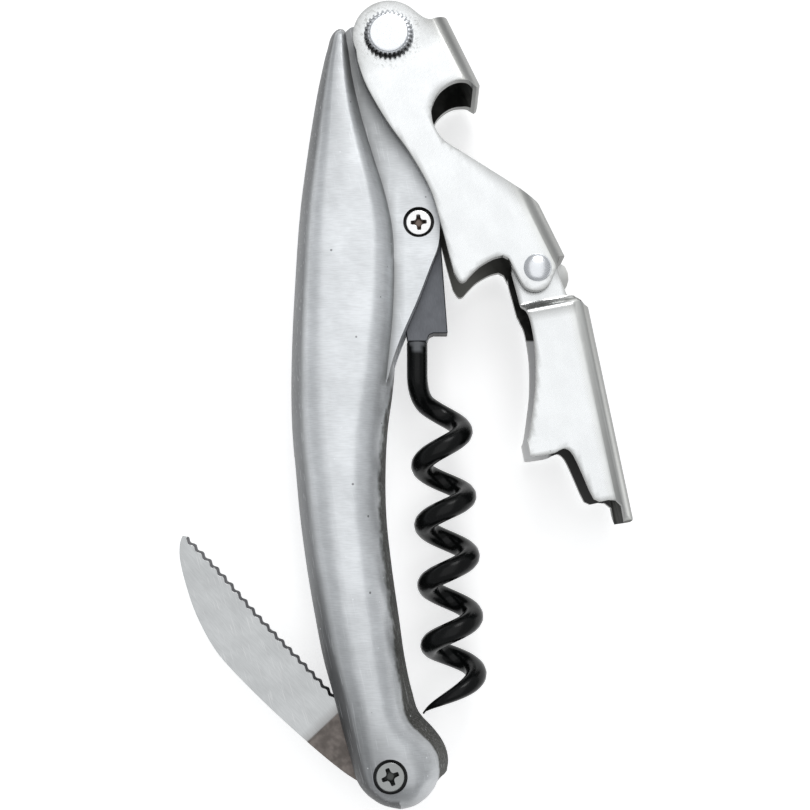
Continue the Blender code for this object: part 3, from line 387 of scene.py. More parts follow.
class Finish:
    """A metal finish built up node by node on Object coordinates."""

    def __init__(self, name, metallic=1.0):
        self.material = bpy.data.materials.new(name)
        self.material.use_nodes = True
        self.tree = self.material.node_tree
        self.shader = self.tree.nodes["Principled BSDF"]
        self.shader.inputs["Metallic"].default_value = metallic
        self.place = self.tree.nodes.new("ShaderNodeTexCoord").outputs["Object"]

    def node(self, kind, **settings):
        made = self.tree.nodes.new(kind)
        for key, value in settings.items():
            setattr(made, key, value)
        return made

    def wire(self, value, socket):
        if isinstance(value, bpy.types.NodeSocket):
            self.tree.links.new(value, socket)
        elif isinstance(value, tuple) and len(value) == 3 and len(socket.default_value) == 4:
            socket.default_value = (*value, 1)
        else:
            socket.default_value = value

    def pattern(self, kind, size, stretch=(1, 1, 1), turn=0.0, shift=(0, 0, 0)):
        """A texture whose cells are size millimetres across, drawn out, turned and shifted."""
        mapping = self.node("ShaderNodeMapping", vector_type="TEXTURE")
        mapping.inputs["Scale"].default_value = [size * 0.001 * part for part in stretch]
        mapping.inputs["Rotation"].default_value = (0, 0, math.radians(turn))
        mapping.inputs["Location"].default_value = [part * 0.001 for part in shift]
        self.wire(self.place, mapping.inputs["Vector"])
        made = self.node(kind)
        made.inputs["Scale"].default_value = 1.0
        self.wire(mapping.outputs[0], made.inputs["Vector"])
        return made

    def grain(self, size, stretch=(1, 1, 1), turn=0.0, detail=2.0, shift=(0, 0, 0)):
        """Noise whose lumps are size millimetres across."""
        noise = self.pattern("ShaderNodeTexNoise", size, stretch, turn, shift)
        noise.inputs["Detail"].default_value = detail
        return noise.outputs["Fac"]

    def specks(self, size, radius, shift=(0, 0, 0)):
        """Round spots, one in each cell of size millimetres, radius as a share of the cell."""
        cells = self.pattern("ShaderNodeTexVoronoi", size, shift=shift)
        return self.ramp(cells.outputs["Distance"], radius, radius * 0.6)

    def ramp(self, value, start, end, low=0.0, high=1.0):
        """The value rescaled from start..end to low..high, held at the ends."""
        made = self.node("ShaderNodeMapRange", interpolation_type="SMOOTHSTEP")
        for name, amount in (("From Min", start), ("From Max", end), ("To Min", low), ("To Max", high)):
            made.inputs[name].default_value = amount
        self.wire(value, made.inputs["Value"])
        return made.outputs[0]

    def vary(self, grain, low, high):
        """A grain's light and dark, spread from low to high."""
        return self.ramp(grain, 0.3, 0.7, low, high)

    def math(self, operation, first, second):
        made = self.node("ShaderNodeMath", operation=operation)
        for value, socket in zip((first, second), made.inputs):
            self.wire(value, socket)
        return made.outputs[0]

    def times(self, first, *others):
        for other in others:
            first = self.math("MULTIPLY", first, other)
        return first

    def plus(self, first, second):
        return self.math("ADD", first, second)

    def mix(self, share, first, second):
        """One colour laid over another by a share."""
        made = self.node("ShaderNodeMix", data_type="RGBA")
        self.wire(share, made.inputs["Factor"])
        self.wire(first, made.inputs[6])
        self.wire(second, made.inputs[7])
        return made.outputs[2]

    def tone(self, colour, value):
        """A colour made lighter or darker by a value."""
        made = self.node("ShaderNodeVectorMath", operation="SCALE")
        self.wire(colour, made.inputs[0])
        self.wire(value, made.inputs["Scale"])
        return made.outputs[0]

    def mark(self, name):
        """An attribute of the mesh, 0 to 1."""
        made = self.node("ShaderNodeAttribute", attribute_name=name)
        return made.outputs["Fac"]

    def from_axis(self, centre):
        """Distance in metres from an upright axis."""
        shift = self.node("ShaderNodeMapping")
        shift.inputs["Location"].default_value = (-centre[0], -centre[1], 0)
        shift.inputs["Scale"].default_value = (1, 1, 0)
        self.wire(self.place, shift.inputs["Vector"])
        length = self.node("ShaderNodeVectorMath", operation="LENGTH")
        self.wire(shift.outputs[0], length.inputs[0])
        return length.outputs["Value"]

    def reach(self, axis):
        """Place along X, Y or Z in metres."""
        parts = self.node("ShaderNodeSeparateXYZ")
        self.wire(self.place, parts.inputs[0])
        return parts.outputs[axis]

    def bump(self, height, depth, under=None):
        """Relief of depth millimetres."""
        made = self.node("ShaderNodeBump")
        made.inputs["Distance"].default_value = depth * 0.001
        self.wire(height, made.inputs["Height"])
        if under is not None:
            self.wire(under, made.inputs["Normal"])
        return made.outputs[0]

    def finish(self, colour, roughness, normal=None):
        self.wire(colour, self.shader.inputs["Base Color"])
        self.wire(roughness, self.shader.inputs["Roughness"])
        if normal is not None:
            self.wire(normal, self.shader.inputs["Normal"])
        return self.material


def satin_cast():
    """Cast metal brushed crosswise, with painted shade on its left steep side, towards both ends, on the
    foot's slopes and on the flange's root, a rough inner wall darkened partly as painted shade, and recess
    rings painted near black as shade.
    """
    f = Finish("satin cast metal", 0.65)
    rough, side, shade, pit = f.mark("rough"), f.mark("side"), f.mark("shade"), f.mark("pit")
    streaks = f.grain(0.13, (11, 1, 11), 0, 3)
    fine = f.grain(0.07, (8, 1, 8), 4, 1, (3, 1, 0))
    clouds = f.grain(5.0, (1, 1.6, 1), 20, 3)
    blotches = f.grain(1.6, (1.5, 1, 1), -15, 2, (9, 4, 0))
    pores = f.grain(0.30, (1, 1, 1), 0, 3)
    light = f.times(f.vary(streaks, 0.93, 1.05), f.ramp(clouds, 0.35, 0.65, 0.93, 1.05),
                    f.ramp(blotches, 0.35, 0.7, 0.96, 1.03))
    along = f.reach("Y")
    # Painted shade: the metal grows darker towards the foot and towards the tip.
    ends = f.times(f.ramp(along, -0.058, -0.020, 0.72, 1.0), f.ramp(along, 0.020, 0.050, 1.0, 0.64))
    # Painted shade on the foot to both sides of its ridge, a line that bends away to the right.
    below = f.math("MAXIMUM", f.math("SUBTRACT", -0.030, along), 0.0)
    ridge = f.math("SUBTRACT", f.times(below, below, 15.6), 0.0052)
    beside = f.math("SUBTRACT", f.reach("X"), ridge)
    slopes = f.plus(f.ramp(beside, -0.0005, -0.0065, 0.0, 0.46),
                    f.ramp(beside, 0.0010, 0.0042, 0.0, 0.34))
    painted_foot_shade = f.times(slopes, f.ramp(along, -0.024, -0.042))
    light = f.times(light, f.times(ends, f.math("SUBTRACT", 1.0, painted_foot_shade)))
    crown = f.tone((0.845, 0.868, 0.888), light)
    # Painted shade: steep faces on the left, marked side, take this darker copy of the crown colour.
    painted_flank_shade = f.tone((0.245, 0.250, 0.256), light)
    colour = f.mix(side, crown, painted_flank_shade)
    # Painted shade on the flange's root beside the groove, marked shade.
    colour = f.mix(shade, colour, f.tone((0.270, 0.275, 0.275), light))
    # The rough inner wall: rough cast metal whose near-black colour is partly painted shade.
    wall = f.mix(f.ramp(pores, 0.40, 0.64), (0.050, 0.050, 0.045), (0.095, 0.097, 0.088))
    frayed = f.ramp(f.plus(rough, f.vary(blotches, -0.12, 0.12)), 0.05, 0.65)
    colour = f.mix(frayed, colour, wall)
    colour = f.mix(f.times(f.specks(2.3, 0.060), 0.75), colour, (0.95, 0.97, 1.0))
    colour = f.mix(f.times(f.specks(3.7, 0.055, (2, 1, 0)), 0.75), colour, (0.10, 0.10, 0.11))
    scratch = f.times(f.ramp(f.grain(0.16, (1, 30, 1), 12, 0, (5, 0, 2)), 0.70, 0.78), 0.25)
    colour = f.mix(scratch, colour, (0.90, 0.92, 0.95))
    # Painted shade: the faces of the screws' recess rings go near black.
    colour = f.mix(pit, colour, (0.030, 0.031, 0.031))
    roughness = f.plus(f.vary(streaks, 0.38, 0.46), f.times(side, 0.10))
    roughness = f.plus(roughness, f.times(frayed, 0.2))
    relief = f.bump(f.plus(streaks, fine), 0.010)
    relief = f.bump(f.times(pores, rough), 0.06, relief)
    return f.finish(colour, roughness, relief)


def satin_plate():
    """Plated plate: bright satin flats, painted shade on bends, steep faces, cut edges and broad shaded
    places, near-black faces inside, painted light on the far cheek's inner face and the tongue, stains
    round the rivet.
    """
    f = Finish("satin plated plate", 0.8)
    bend, inside, side, shade = f.mark("bend"), f.mark("inside"), f.mark("side"), f.mark("shade")
    cut, rim, lip = f.mark("cut"), f.mark("rim"), f.mark("lip")
    haze = f.grain(3.2, (1, 1.5, 1), 30, 3)
    fine = f.grain(0.10, (1, 9, 1), -25, 2)
    grit = f.grain(0.42, (1, 1, 1), 0, 4, (1, 2, 0))
    light = f.times(f.ramp(haze, 0.35, 0.7, 0.965, 1.02), f.vary(fine, 0.98, 1.02))
    colour = f.tone((0.925, 0.940, 0.945), light)
    # Painted shade on the bends.
    colour = f.mix(bend, colour, f.tone((0.80, 0.805, 0.78), light))
    # Painted shade on steep faces.
    colour = f.mix(side, colour, f.tone((0.270, 0.273, 0.262), light))
    # Painted shade: broad shaded places and a band along the outline.
    colour = f.mix(shade, colour, f.tone((0.330, 0.332, 0.322), light))
    axis = f.from_axis(LEVER_AXIS)
    ring = f.times(f.ramp(axis, 0.0032, 0.0036), f.ramp(axis, 0.0056, 0.0038))
    stain = f.times(ring, f.ramp(grit, 0.50, 0.68), f.ramp(haze, 0.35, 0.62))
    colour = f.mix(f.times(stain, 0.6), colour, (0.16, 0.155, 0.13))
    # Painted shade on the cut edges.
    colour = f.mix(cut, colour, (0.130, 0.130, 0.122))
    colour = f.mix(f.times(f.specks(5.3, 0.035, (1, 3, 0)), 0.5), colour, (0.30, 0.30, 0.30))
    # Faces inside the channel are coloured near black.
    dull = f.mix(f.ramp(haze, 0.4, 0.6), (0.020, 0.020, 0.018), (0.060, 0.060, 0.055))
    along = f.reach("Y")
    # Painted light on the far cheek's inner face round the step's peak.
    painted_peak_light = f.times(rim, f.ramp(f.from_axis(STEP_PEAK), 0.0085, 0.0015))
    dull = f.mix(painted_peak_light, dull, (0.210, 0.208, 0.190))
    # Painted light on the far cheek's inner face where Y is below about 3 mm.
    dull = f.mix(f.times(rim, f.ramp(along, 0.004, 0.002)), dull, (0.10, 0.10, 0.098))
    colour = f.mix(inside, colour, dull)
    # Painted light: a pale patch on the far cheek's inner face, and grey on the tongue's inner faces,
    # marked lip.
    painted_inner_light = f.times(f.ramp(f.from_axis(STEP_AXIS), 0.0086, 0.0090), f.ramp(f.reach("X"), 0.0222, 0.0212),
                   rim, f.ramp(along, 0.010, 0.009))
    painted_inner_light = f.math("MAXIMUM", painted_inner_light, lip)
    colour = f.mix(painted_inner_light, colour, f.mix(lip, (0.93, 0.93, 0.93), (0.30, 0.302, 0.295)))
    bare = f.math("MAXIMUM", painted_inner_light, painted_peak_light)
    # Metallic drops where light is painted, so those faces catch light like pale paint.
    f.wire(f.math("SUBTRACT", 0.8, f.times(bare, 0.7)), f.shader.inputs["Metallic"])
    roughness = f.plus(f.vary(fine, 0.22, 0.28), f.times(bend, 0.12))
    roughness = f.plus(roughness, f.ramp(inside, 0.0, 0.1, 0.0, 0.4))
    return f.finish(colour, roughness, f.bump(f.plus(fine, grit), 0.004))


def turned_steel(name, bright, recess_shade, axis=None, glint=(0, 0, 0)):
    """Turned steel with painted shade in its recess, and a lighter middle where the driver has rubbed."""
    f = Finish(name)
    fine = f.grain(0.12, (1, 1, 1), 0, 3)
    colour = f.tone(bright, f.vary(fine, 0.94, 1.04))
    recess = f.mark("recess")
    # Painted shade in the recess, mottled.
    deep = f.tone(recess_shade, f.ramp(f.grain(0.35), 0.35, 0.65, 0.7, 1.8))
    if axis:
        deep = f.mix(f.ramp(f.from_axis(axis), 0.00065, 0.0003), deep, glint)
    colour = f.mix(recess, colour, deep)
    roughness = f.plus(f.vary(fine, 0.24, 0.32), f.times(recess, 0.25))
    return f.finish(colour, roughness, f.bump(fine, 0.004))


def ground_blade():
    """Light ground steel with fine scratches, a dark tang and painted shade on the teeth's bevel and the
    spine's edge.
    """
    f = Finish("ground blade steel")
    lines = f.grain(0.11, (1, 14, 1), 42.7, 3)
    marks = f.grain(0.14, (1, 26, 1), 18, 0, (4, 1, 0))
    haze = f.grain(4.0, (1, 1, 1), 0, 3)
    colour = f.tone((0.560, 0.572, 0.575), f.vary(lines, 0.93, 1.06))
    colour = f.tone(colour, f.ramp(haze, 0.35, 0.65, 0.95, 1.04))
    colour = f.mix(f.times(f.ramp(marks, 0.70, 0.78), 0.4), colour, (0.80, 0.80, 0.80))
    tang = f.tone((0.185, 0.163, 0.150), f.vary(f.grain(1.2), 0.75, 1.25))
    colour = f.mix(f.mark("tang"), colour, tang)
    # Painted shade on the teeth's bevel and the spine's edge faces.
    colour = f.mix(f.mark("teeth"), colour, (0.130, 0.130, 0.135))
    colour = f.mix(f.mark("glint"), colour, (0.95, 0.95, 0.95))
    roughness = f.plus(f.vary(lines, 0.28, 0.36), f.times(f.mark("tang"), 0.15))
    return f.finish(colour, roughness, f.bump(lines, 0.006))


def dull_hub():
    """Dull dark grey steel, blackened where the wire's coat runs out on it."""
    f = Finish("dull dark steel")
    haze = f.grain(1.8, (1, 1.4, 1), 0, 4)
    fine = f.grain(0.15, (1, 6, 1), 8, 2)
    light = f.times(f.vary(haze, 0.88, 1.12), f.vary(fine, 0.95, 1.06))
    colour = f.tone((0.150, 0.156, 0.170), light)
    colour = f.mix(f.mark("edge"), colour, (0.025, 0.025, 0.027))
    return f.finish(colour, f.vary(haze, 0.38, 0.5), f.bump(fine, 0.006))


def black_coating():
    """Gloss black coat with a faint ripple and dust."""
    f = Finish("gloss black coat", 0.0)
    ripple = f.grain(1.4, (1, 1, 1), 0, 3)
    dust = f.grain(0.2, (1, 1, 1), 0, 2)
    colour = f.mix(f.times(f.ramp(dust, 0.6, 0.75), 0.5), (0.0035, 0.004, 0.004), (0.02, 0.021, 0.02))
    colour = f.mix(f.mark("bare"), colour, (0.150, 0.155, 0.165))
    f.shader.inputs["Specular IOR Level"].default_value = 0.20
    return f.finish(colour, f.vary(ripple, 0.16, 0.30), f.bump(ripple, 0.02))


def hidden_steel():
    """Plain steel of the pieces inside."""
    f = Finish("plain steel")
    fine = f.grain(0.15, (1, 5, 1), 0, 3)
    colour = f.tone((0.60, 0.61, 0.62), f.vary(fine, 0.9, 1.06))
    return f.finish(colour, f.vary(fine, 0.28, 0.40), f.bump(fine, 0.005))


cast_metal = satin_cast()
plate_metal = satin_plate()
bright_steel = turned_steel("bright turned steel", (0.93, 0.93, 0.93), (0.030, 0.022, 0.018),
                            WORM_AXIS, (0.20, 0.16, 0.14))
grey_steel = turned_steel("grey turned steel", (0.34, 0.35, 0.345), (0.020, 0.021, 0.020),
                          BLADE_AXIS, (0.10, 0.105, 0.10))
cap_steel = turned_steel("bright knurled steel", (0.84, 0.86, 0.89), (0.018, 0.018, 0.018))
blade_steel = ground_blade()
hub_steel = dull_hub()
black_coat = black_coating()
plain_steel = hidden_steel()


def held(value):
    return min(max(value, 0), 1)


def mark(piece, name, rule):
    """Give each corner of a mesh a value from 0 to 1 by its place and direction."""
    values = piece.data.attributes.new(name, "FLOAT", "POINT")
    for corner, value in zip(piece.data.vertices, values.data):
        value.value = held(rule(corner.co, corner.normal))


def mark_faces(piece, name, rule):
    """Give each face of a mesh a value by its middle and direction."""
    values = piece.data.attributes.new(name, "FLOAT", "FACE")
    for face, value in zip(piece.data.polygons, values.data):
        value.value = float(rule(face.center, face.normal))


# Handle

def section_row(share):
    """The handle's section shares at a place along it, on smooth curves through the given rows."""
    rows = SECTION_SHARES
    index = next((i for i in range(len(rows) - 2) if rows[i + 1][0] > share), len(rows) - 2)
    low, high = rows[index], rows[index + 1]
    step = high[0] - low[0]
    t = (share - low[0]) / step

    def lean_at(place_index, column):
        before = rows[max(place_index - 1, 0)]
        here = rows[place_index]
        after = rows[min(place_index + 1, len(rows) - 1)]
        if here is before or here is after:
            return (after[column] - before[column]) / (after[0] - before[0])
        back, ahead = here[0] - before[0], after[0] - here[0]
        slope_back = (here[column] - before[column]) / back
        slope_ahead = (after[column] - here[column]) / ahead
        return (ahead * slope_back + back * slope_ahead) / (back + ahead)

    made = [share]
    for column in range(1, len(low)):
        start, end = low[column], high[column]
        go, stop = lean_at(index, column) * step, lean_at(index + 1, column) * step
        made.append(between(start, end, go, stop, t))
    return made


def belly_section(share):
    """One cross-section of a half belly: rounded cheek, right slope, leaning wall."""
    row = section_row(share)
    left, right, left_round, right_round = (value * HANDLE_DEPTH for value in row[1:5])
    left_round *= 1.15
    height = min(row[5], 1) * BELLY_HALF
    lean = max(row[6], 0) * HANDLE_DEPTH
    wall = max(row[7], 0)
    points = []
    for step in range(ARC_STEPS + 1):
        angle = math.pi / 2 * step / ARC_STEPS
        points.append((left + left_round * (1 - math.cos(angle)), height * math.sin(angle)))
    start, end = left + left_round, right - lean - right_round
    for step in range(1, FLAT_STEPS):
        points.append((start + (end - start) * step / FLAT_STEPS, height))
    turn = math.pi / 2 * (1 - wall / 2)
    for step in range(ARC_STEPS + 1):
        angle = turn * step / ARC_STEPS
        drop = (1 - math.cos(angle)) / (1 - math.cos(turn))
        across = end + right_round * math.sin(angle) / math.sin(turn)
        points.append((across, height * (1 - (1 - wall) * drop)))
    across, top = points[-1]
    for step in range(1, WALL_STEPS + 1):
        share_down = step / WALL_STEPS
        points.append((across + (right - across) * share_down, top * (1 - share_down)))
    middle = (start + end) / 2
    half = max(middle - left, right - middle, 0.1)
    return [(x, z * (1 - CROWN_FALL * min(abs(x - middle) / half, 1) ** 2)) for x, z in points]


def half_shell(name, side):
    """One cast half: a sheet bent over the sections and closed below, with flange and cuts."""
    stations = [0.5 - 0.5 * math.cos(math.pi * index / STATIONS) for index in range(STATIONS + 1)]
    sections = [belly_section(share) for share in stations]
    across = len(sections[0])
    bpy.ops.object.select_all(action="DESELECT")
    bpy.ops.mesh.primitive_grid_add(x_subdivisions=across - 1, y_subdivisions=STATIONS, size=2)
    piece = bpy.context.object
    piece.name = name
    for corner in piece.data.vertices:
        column = round((corner.co.x + 1) / 2 * (across - 1))
        row = round((corner.co.y + 1) / 2 * STATIONS)
        x, z = sections[row][column]
        corner.co = (x, stations[row] * HANDLE_LENGTH, z)

    def close_below():
        bpy.ops.mesh.select_all(action="DESELECT")
        bpy.ops.mesh.select_non_manifold()
        bpy.ops.mesh.extrude_region_move(TRANSFORM_OT_translate={"value": (0, 0, -1)})
        bpy.ops.transform.resize(value=(1, 1, 0), center_override=(0, 0, -1))
        bpy.ops.mesh.edge_face_add()

    edit(piece, close_below, face_outwards)

    outline = flowing(sized(FLANGE_EDGE_SHARES, HANDLE_LENGTH, HANDLE_DEPTH), 5)
    outline += arc(LEVER_PIVOT, FLANGE_HEAD_RADIUS, -5, 60, 16)
    outline += arc(LEVER_PIVOT, SHOULDER_RADIUS, 95, 150, 14)
    outline += [(9.4, 113.15), (8.6, 112.9), (8.0, 112.4)]
    outline += sized(FLANGE_ROOT_SHARES[1:], HANDLE_LENGTH, HANDLE_DEPTH)
    flange = slab("flange", outline, -1, FLANGE_HALF)
    # The flange's right edge leans in towards its face, more so low down.
    for corner in flange.data.vertices:
        if corner.co.z > 0 and corner.co.x > 13:
            corner.co.x -= 0.12 + 0.5 * held((78 - corner.co.y) / 12)
    combine(piece, flange, "UNION")
    wide, long = 2 * HANDLE_DEPTH, 2 * HANDLE_LENGTH
    field = [(BELOW, BELOW), (wide, BELOW), (wide, long), (BELOW, long)]
    combine(piece, slab("parting", field, BELOW, PARTING_HALF))

    for cutter in (
            slab("blade slot", blade_slot(), BELOW, BLADE_SLOT_HALF),
            slab("spring slot", strip(spring_line(), SPRING_WIDTH), BELOW, SPRING_SLOT_HALF),
            slab("hub slot", hub_slot(), BELOW, HUB_SLOT_HALF)):
        combine(piece, cutter)
    bore(piece, LEVER_BORE, BELOW, THROUGH, LEVER_PIVOT)
    bore(piece, PIN_BORE, BELOW, FLANGE_HALF + 0.05, SPRING_PIN)
    pits = []
    for pivot, face, head in (
            (WORM_PIVOT, FLANGE_HALF, WORM_SCREW), (BLADE_PIVOT, BELLY_HALF, BLADE_SCREW)):
        if side > 0:
            narrow, wide, seat = SCREW_BORE, head + RING_GAP, face - SCREW_SEAT
        else:
            narrow, wide, seat = NUT_BORE, NUT_HEAD + RING_GAP, face - NUT_SEAT
        stepped = ((narrow, BELOW), (narrow, seat), (wide, seat), (wide, THROUGH))
        combine(piece, turned("recess", stepped, pivot))
        pits.append((pivot, face, wide))
    if side < 0:
        edit(piece, lambda: bpy.ops.transform.resize(value=(1, 1, -1), center_override=(0, 0, 0)))
    ease(piece, 0.16, pitch=1.2,
         cheek=lambda face: (abs(face.normal.z) > 0.99
                             and abs(abs(face.center.z) - FLANGE_HALF) < 0.05))
    mark_shell(piece, pits)
    return piece


def blade_slot():
    """The space that the blade sweeps between the shells, from folded to open."""
    angle = math.radians(BLADE_TURN + BLADE_FOLD)
    along = Vector((math.cos(angle), math.sin(angle)))
    beside = Vector((along.y, -along.x)) * 1.8
    pivot = Vector(BLADE_PIVOT)
    top = pivot + along * (BLADE_LENGTH + 0.61)
    heel = pivot + along * HEEL_SLOT + beside
    right = pivot.x + 6.1
    return [tuple(top + beside), tuple(heel), (right, pivot.y + 2.15), (right, -2), (-2, -2), (-2, top.y)]


def hub_slot():
    """The space that the worm's hub swings out of."""
    clear = 3.7
    low = WORM_PIVOT[1] - 21.12
    return arc(WORM_PIVOT, clear, 90, 180, 12) + [
        (WORM_PIVOT[0] - clear, low), (24, low), (24, WORM_PIVOT[1] + clear)]


def spring_line():
    """The middle line of the hidden spring, along the right wall."""
    low = arc(BLADE_PIVOT, 5.4, 35, 35, 1)[0]
    high = (WORM_PIVOT[0] - 4.2, WORM_PIVOT[1] - 1.6)
    beside = [(row[2] * HANDLE_DEPTH - 1.95, row[0] * HANDLE_LENGTH) for row in SECTION_SHARES]
    middle = [point for point in beside if low[1] + 3.2 < point[1] < high[1] - 6.4]
    return flowing([low] + middle + [high], 2)


def strip(points, width):
    """The outline of a strip of even width along a line."""
    left, right = [], []
    for index, point in enumerate(points):
        before = Vector(points[max(index - 1, 0)])
        after = Vector(points[min(index + 1, len(points) - 1)])
        run = (after - before).normalized()
        side = Vector((-run.y, run.x)) * width / 2
        left.append(tuple(Vector(point) + side))
        right.append(tuple(Vector(point) - side))
    return left + right[::-1]


SPRING_PIN = spring_line()[14]


def groove_at(share):
    """Where the belly meets the flange."""
    points = belly_section(share)
    return next((x for x, z in reversed(points) if z > FLANGE_HALF), points[0][0])


def mark_shell(shell, pits):
    """Mark the casting's rough wall, darkened partly as painted shade, the left steep side and the
    flange's root for painted shade, and the recess rings for near-black painted shade.
    """
    def rough(spot, normal):
        x, y, z = spot
        row = section_row(held(y / HANDLE_LENGTH))
        left, right = row[1] * HANDLE_DEPTH, row[2] * HANDLE_DEPTH
        lean = max(row[6], 0) * HANDLE_DEPTH
        if abs(z) < 2.5 and left + 1.0 < x < right - 1.2:
            return 1
        if x > right + 0.3:
            return 0
        wall = max(row[7], 0) * min(row[5], 1) * BELLY_HALF
        soft = held((y - 9) / 14)
        return min((x - (right - lean) + 0.35 + 0.45 * soft) / (0.5 + 1.0 * soft),
                   (wall + 0.9 + 0.5 * soft - abs(z)) / (0.6 + 0.7 * soft), row[7] / 0.3)

    # Painted shade on the flange's root beside the groove, stronger towards the head.
    def shade(spot, normal):
        if spot.y < 60 or not 1.5 < abs(spot.z) < FLANGE_HALF + 2.2:
            return 0
        off = spot.x - groove_at(min(spot.y / HANDLE_LENGTH, 1))
        high = held((spot.y - 88) / 16)
        if off < 0:
            return 0.75 * (1 + off / 0.7)
        return max(0.85 * (1 - off / (1.3 + 2.0 * high)), 0.72 * high)

    mark(shell, "rough", rough)
    # Painted shade on steep faces that lean left.
    mark(shell, "side", lambda spot, normal: (0.77 - abs(normal.z)) / 0.16 if normal.x < 0 else 0)
    mark(shell, "shade", shade)
    # The recess rings' faces, marked for near-black painted shade.
    mark_faces(shell, "pit", lambda middle, normal: any(
        abs(middle.z) < face - 0.1 and math.dist(middle.xy, pivot) < wide + 0.008
        for pivot, face, wide in pits))


for name, side in (("front_shell", 1), ("back_shell", -1)):
    settle(half_shell(name + "_cast", side), HANDLE, "handle", "cast_metal", cast_metal, name)


# Levers

def channel(name, spine, stations):
    """A strip of plate folded into a channel along X, by place and half width at each station."""
    reach = -spine
    start, half = stations[0]
    middle = (spine - BEND_RADIUS, half - BEND_RADIUS)
    near = [(reach, half)] + arc(middle, BEND_RADIUS, 90, 0, BEND_STEPS)
    inside = arc(middle, BEND_RADIUS - PLATE, 0, 90, BEND_STEPS) + [(reach, half - PLATE)]
    ring = near + [(y, -z) for y, z in reversed(near)] + [(y, -z) for y, z in reversed(inside)] + inside
    piece = sheet_of(name, ring, 0)
    for corner, (y, z) in zip(piece.data.vertices, ring):
        corner.co = (start, y, z)
    before, old = start, half
    for along, half in stations[1:]:
        pick_faces(piece, lambda face: abs(face.normal.x) > 0.99 and abs(face.center.x - before) < WELD)
        bpy.ops.mesh.extrude_region_move(TRANSFORM_OT_translate={"value": (along - before, 0, 0)})
        bpy.ops.object.mode_set(mode="OBJECT")
        for corner in piece.data.vertices:
            if corner.select:
                corner.co.z += (half - old) * math.copysign(1, corner.co.z)
        before, old = along, half
    edit(piece, face_outwards)
    return piece


def first_lever():
    """The folded plate with its round head, cap-lifter mouth, boss and first step."""
    piece = channel("first_lever_plate", LEVER_SPINE, [(end, LEVER_HALF) for end in PLATE_ENDS])
    outline = arc((0, 0), LEVER_HEAD_RADIUS, 270, 116, 36)
    outline += flowing(sized(NOSE_SHARES, LEVER_LENGTH), 3)
    outline += sized(MOUTH_SHARES[:5], LEVER_LENGTH)
    outline += flowing(sized(MOUTH_SHARES[5:], LEVER_LENGTH), 5)
    outline += sized(WAIST_SHARES, LEVER_LENGTH)
    outline += flowing(sized(BOSS_SHARES, LEVER_LENGTH), 5)
    outline += flowing(sized(FIRST_STEP_SHARES, LEVER_LENGTH), 5)
    outline += flowing(sized(INNER_EDGE_SHARES, LEVER_LENGTH), 5)
    combine(piece, slab("outline", outline, -SIDEWAYS, SIDEWAYS), "INTERSECT")
    bore(piece, RIVET_BORE, -SIDEWAYS, SIDEWAYS)
    bore(piece, STEP_RIVET_BORE, -SIDEWAYS, SIDEWAYS, STEP_RIVET)
    return piece, outline


def second_lever():
    """The folded channel with its joggled neck, rounded tongue, stop lug and web."""
    joggle = [(JOGGLE_END - (JOGGLE_END - JOGGLE_START) * step / 5,
               LEVER_HALF - (LEVER_HALF - NECK_HALF) * (0.5 - 0.5 * math.cos(math.pi * step / 5)))
              for step in range(6)]
    piece = channel("second_lever_plate", STEP_SPINE, [(40, LEVER_HALF)] + joggle + [(-5.3, NECK_HALF)])
    outline = flowing(sized(EAR_SHARES, STEP_LENGTH), 5)
    outline += sized(SHOULDER_SHARES, STEP_LENGTH)
    outline += sized(TOE_SHARES, STEP_LENGTH)
    outline += flowing(sized(LEG_SHARES, STEP_LENGTH), 5)
    combine(piece, slab("outline", outline, -SIDEWAYS, SIDEWAYS), "INTERSECT")
    round_length, round_half = STEP_LENGTH + 0.25 - TONGUE_TIP, LEVER_HALF - TONGUE_HALF
    past = STEP_LENGTH + 2
    upright = Matrix.Translation((0, 2 * STEP_SPINE, 0)) @ Matrix.Rotation(math.pi / 2, 4, "X")
    for side in (-1, 1):
        corner = [(TONGUE_TIP + round_length * x, side * (TONGUE_HALF + round_half * y))
                  for y, x in arc((0, 0), 1, 0, 90, 10)]
        corner += [(past, side * TONGUE_HALF), (past, side * SIDEWAYS), (TONGUE_TIP, side * SIDEWAYS)]
        tool = slab("tongue corner", corner, 0, 2 * STEP_SPINE)
        tool.data.transform(upright)
        combine(piece, tool)
    combine(piece, slab("lug", sized(LUG_SHARES, STEP_LENGTH), -LUG_HALF_WIDTH, LUG_HALF_WIDTH), "UNION")
    combine(piece, slab("web", sized(WEB_SHARES, STEP_LENGTH), -WEB_HALF, WEB_HALF), "UNION")
    for low, high in ((-SIDEWAYS, -LUG_HALF_WIDTH), (LUG_HALF_WIDTH, SIDEWAYS)):
        bore(piece, EAR_BORE, low, high)
    return piece, outline


def first_shade(spot):
    """Broad shading of the first lever's cheek: its round head, its mouth and its waist's edge."""
    head = 0.60 * (spot.xy.length - 3.3) / 2.0 * held((4.5 - spot.x) / 4.5)
    mouth = 0.45 * (1 - (math.dist(spot.xy, MOUTH_CENTRE) - 3.9) / 0.7)
    start = Vector((0.47 * LEVER_LENGTH, 0.030 * LEVER_LENGTH))
    end = Vector((0.826 * LEVER_LENGTH, 0.250 * LEVER_LENGTH))
    run = (end - start).length
    along = (spot.xy - start).dot(end - start) / run
    off = abs((spot.xy - start).cross(end - start)) / run
    waist = 0.65 * (1 - off / (0.5 + 2.6 * min(along / run, 1))) if along > 0 else 0
    return max(head, mouth, waist)


def second_shade(spot):
    """Broad shading of the second lever: its stop lug and its cheek below the joggle."""
    if abs(spot.z) < 2.6:
        return 0.15 if spot.x < 1.3 else 0.8
    if spot.x < JOGGLE_END:
        return 0
    return 0.8 * (1 - (spot.x - JOGGLE_END) / 1.9)


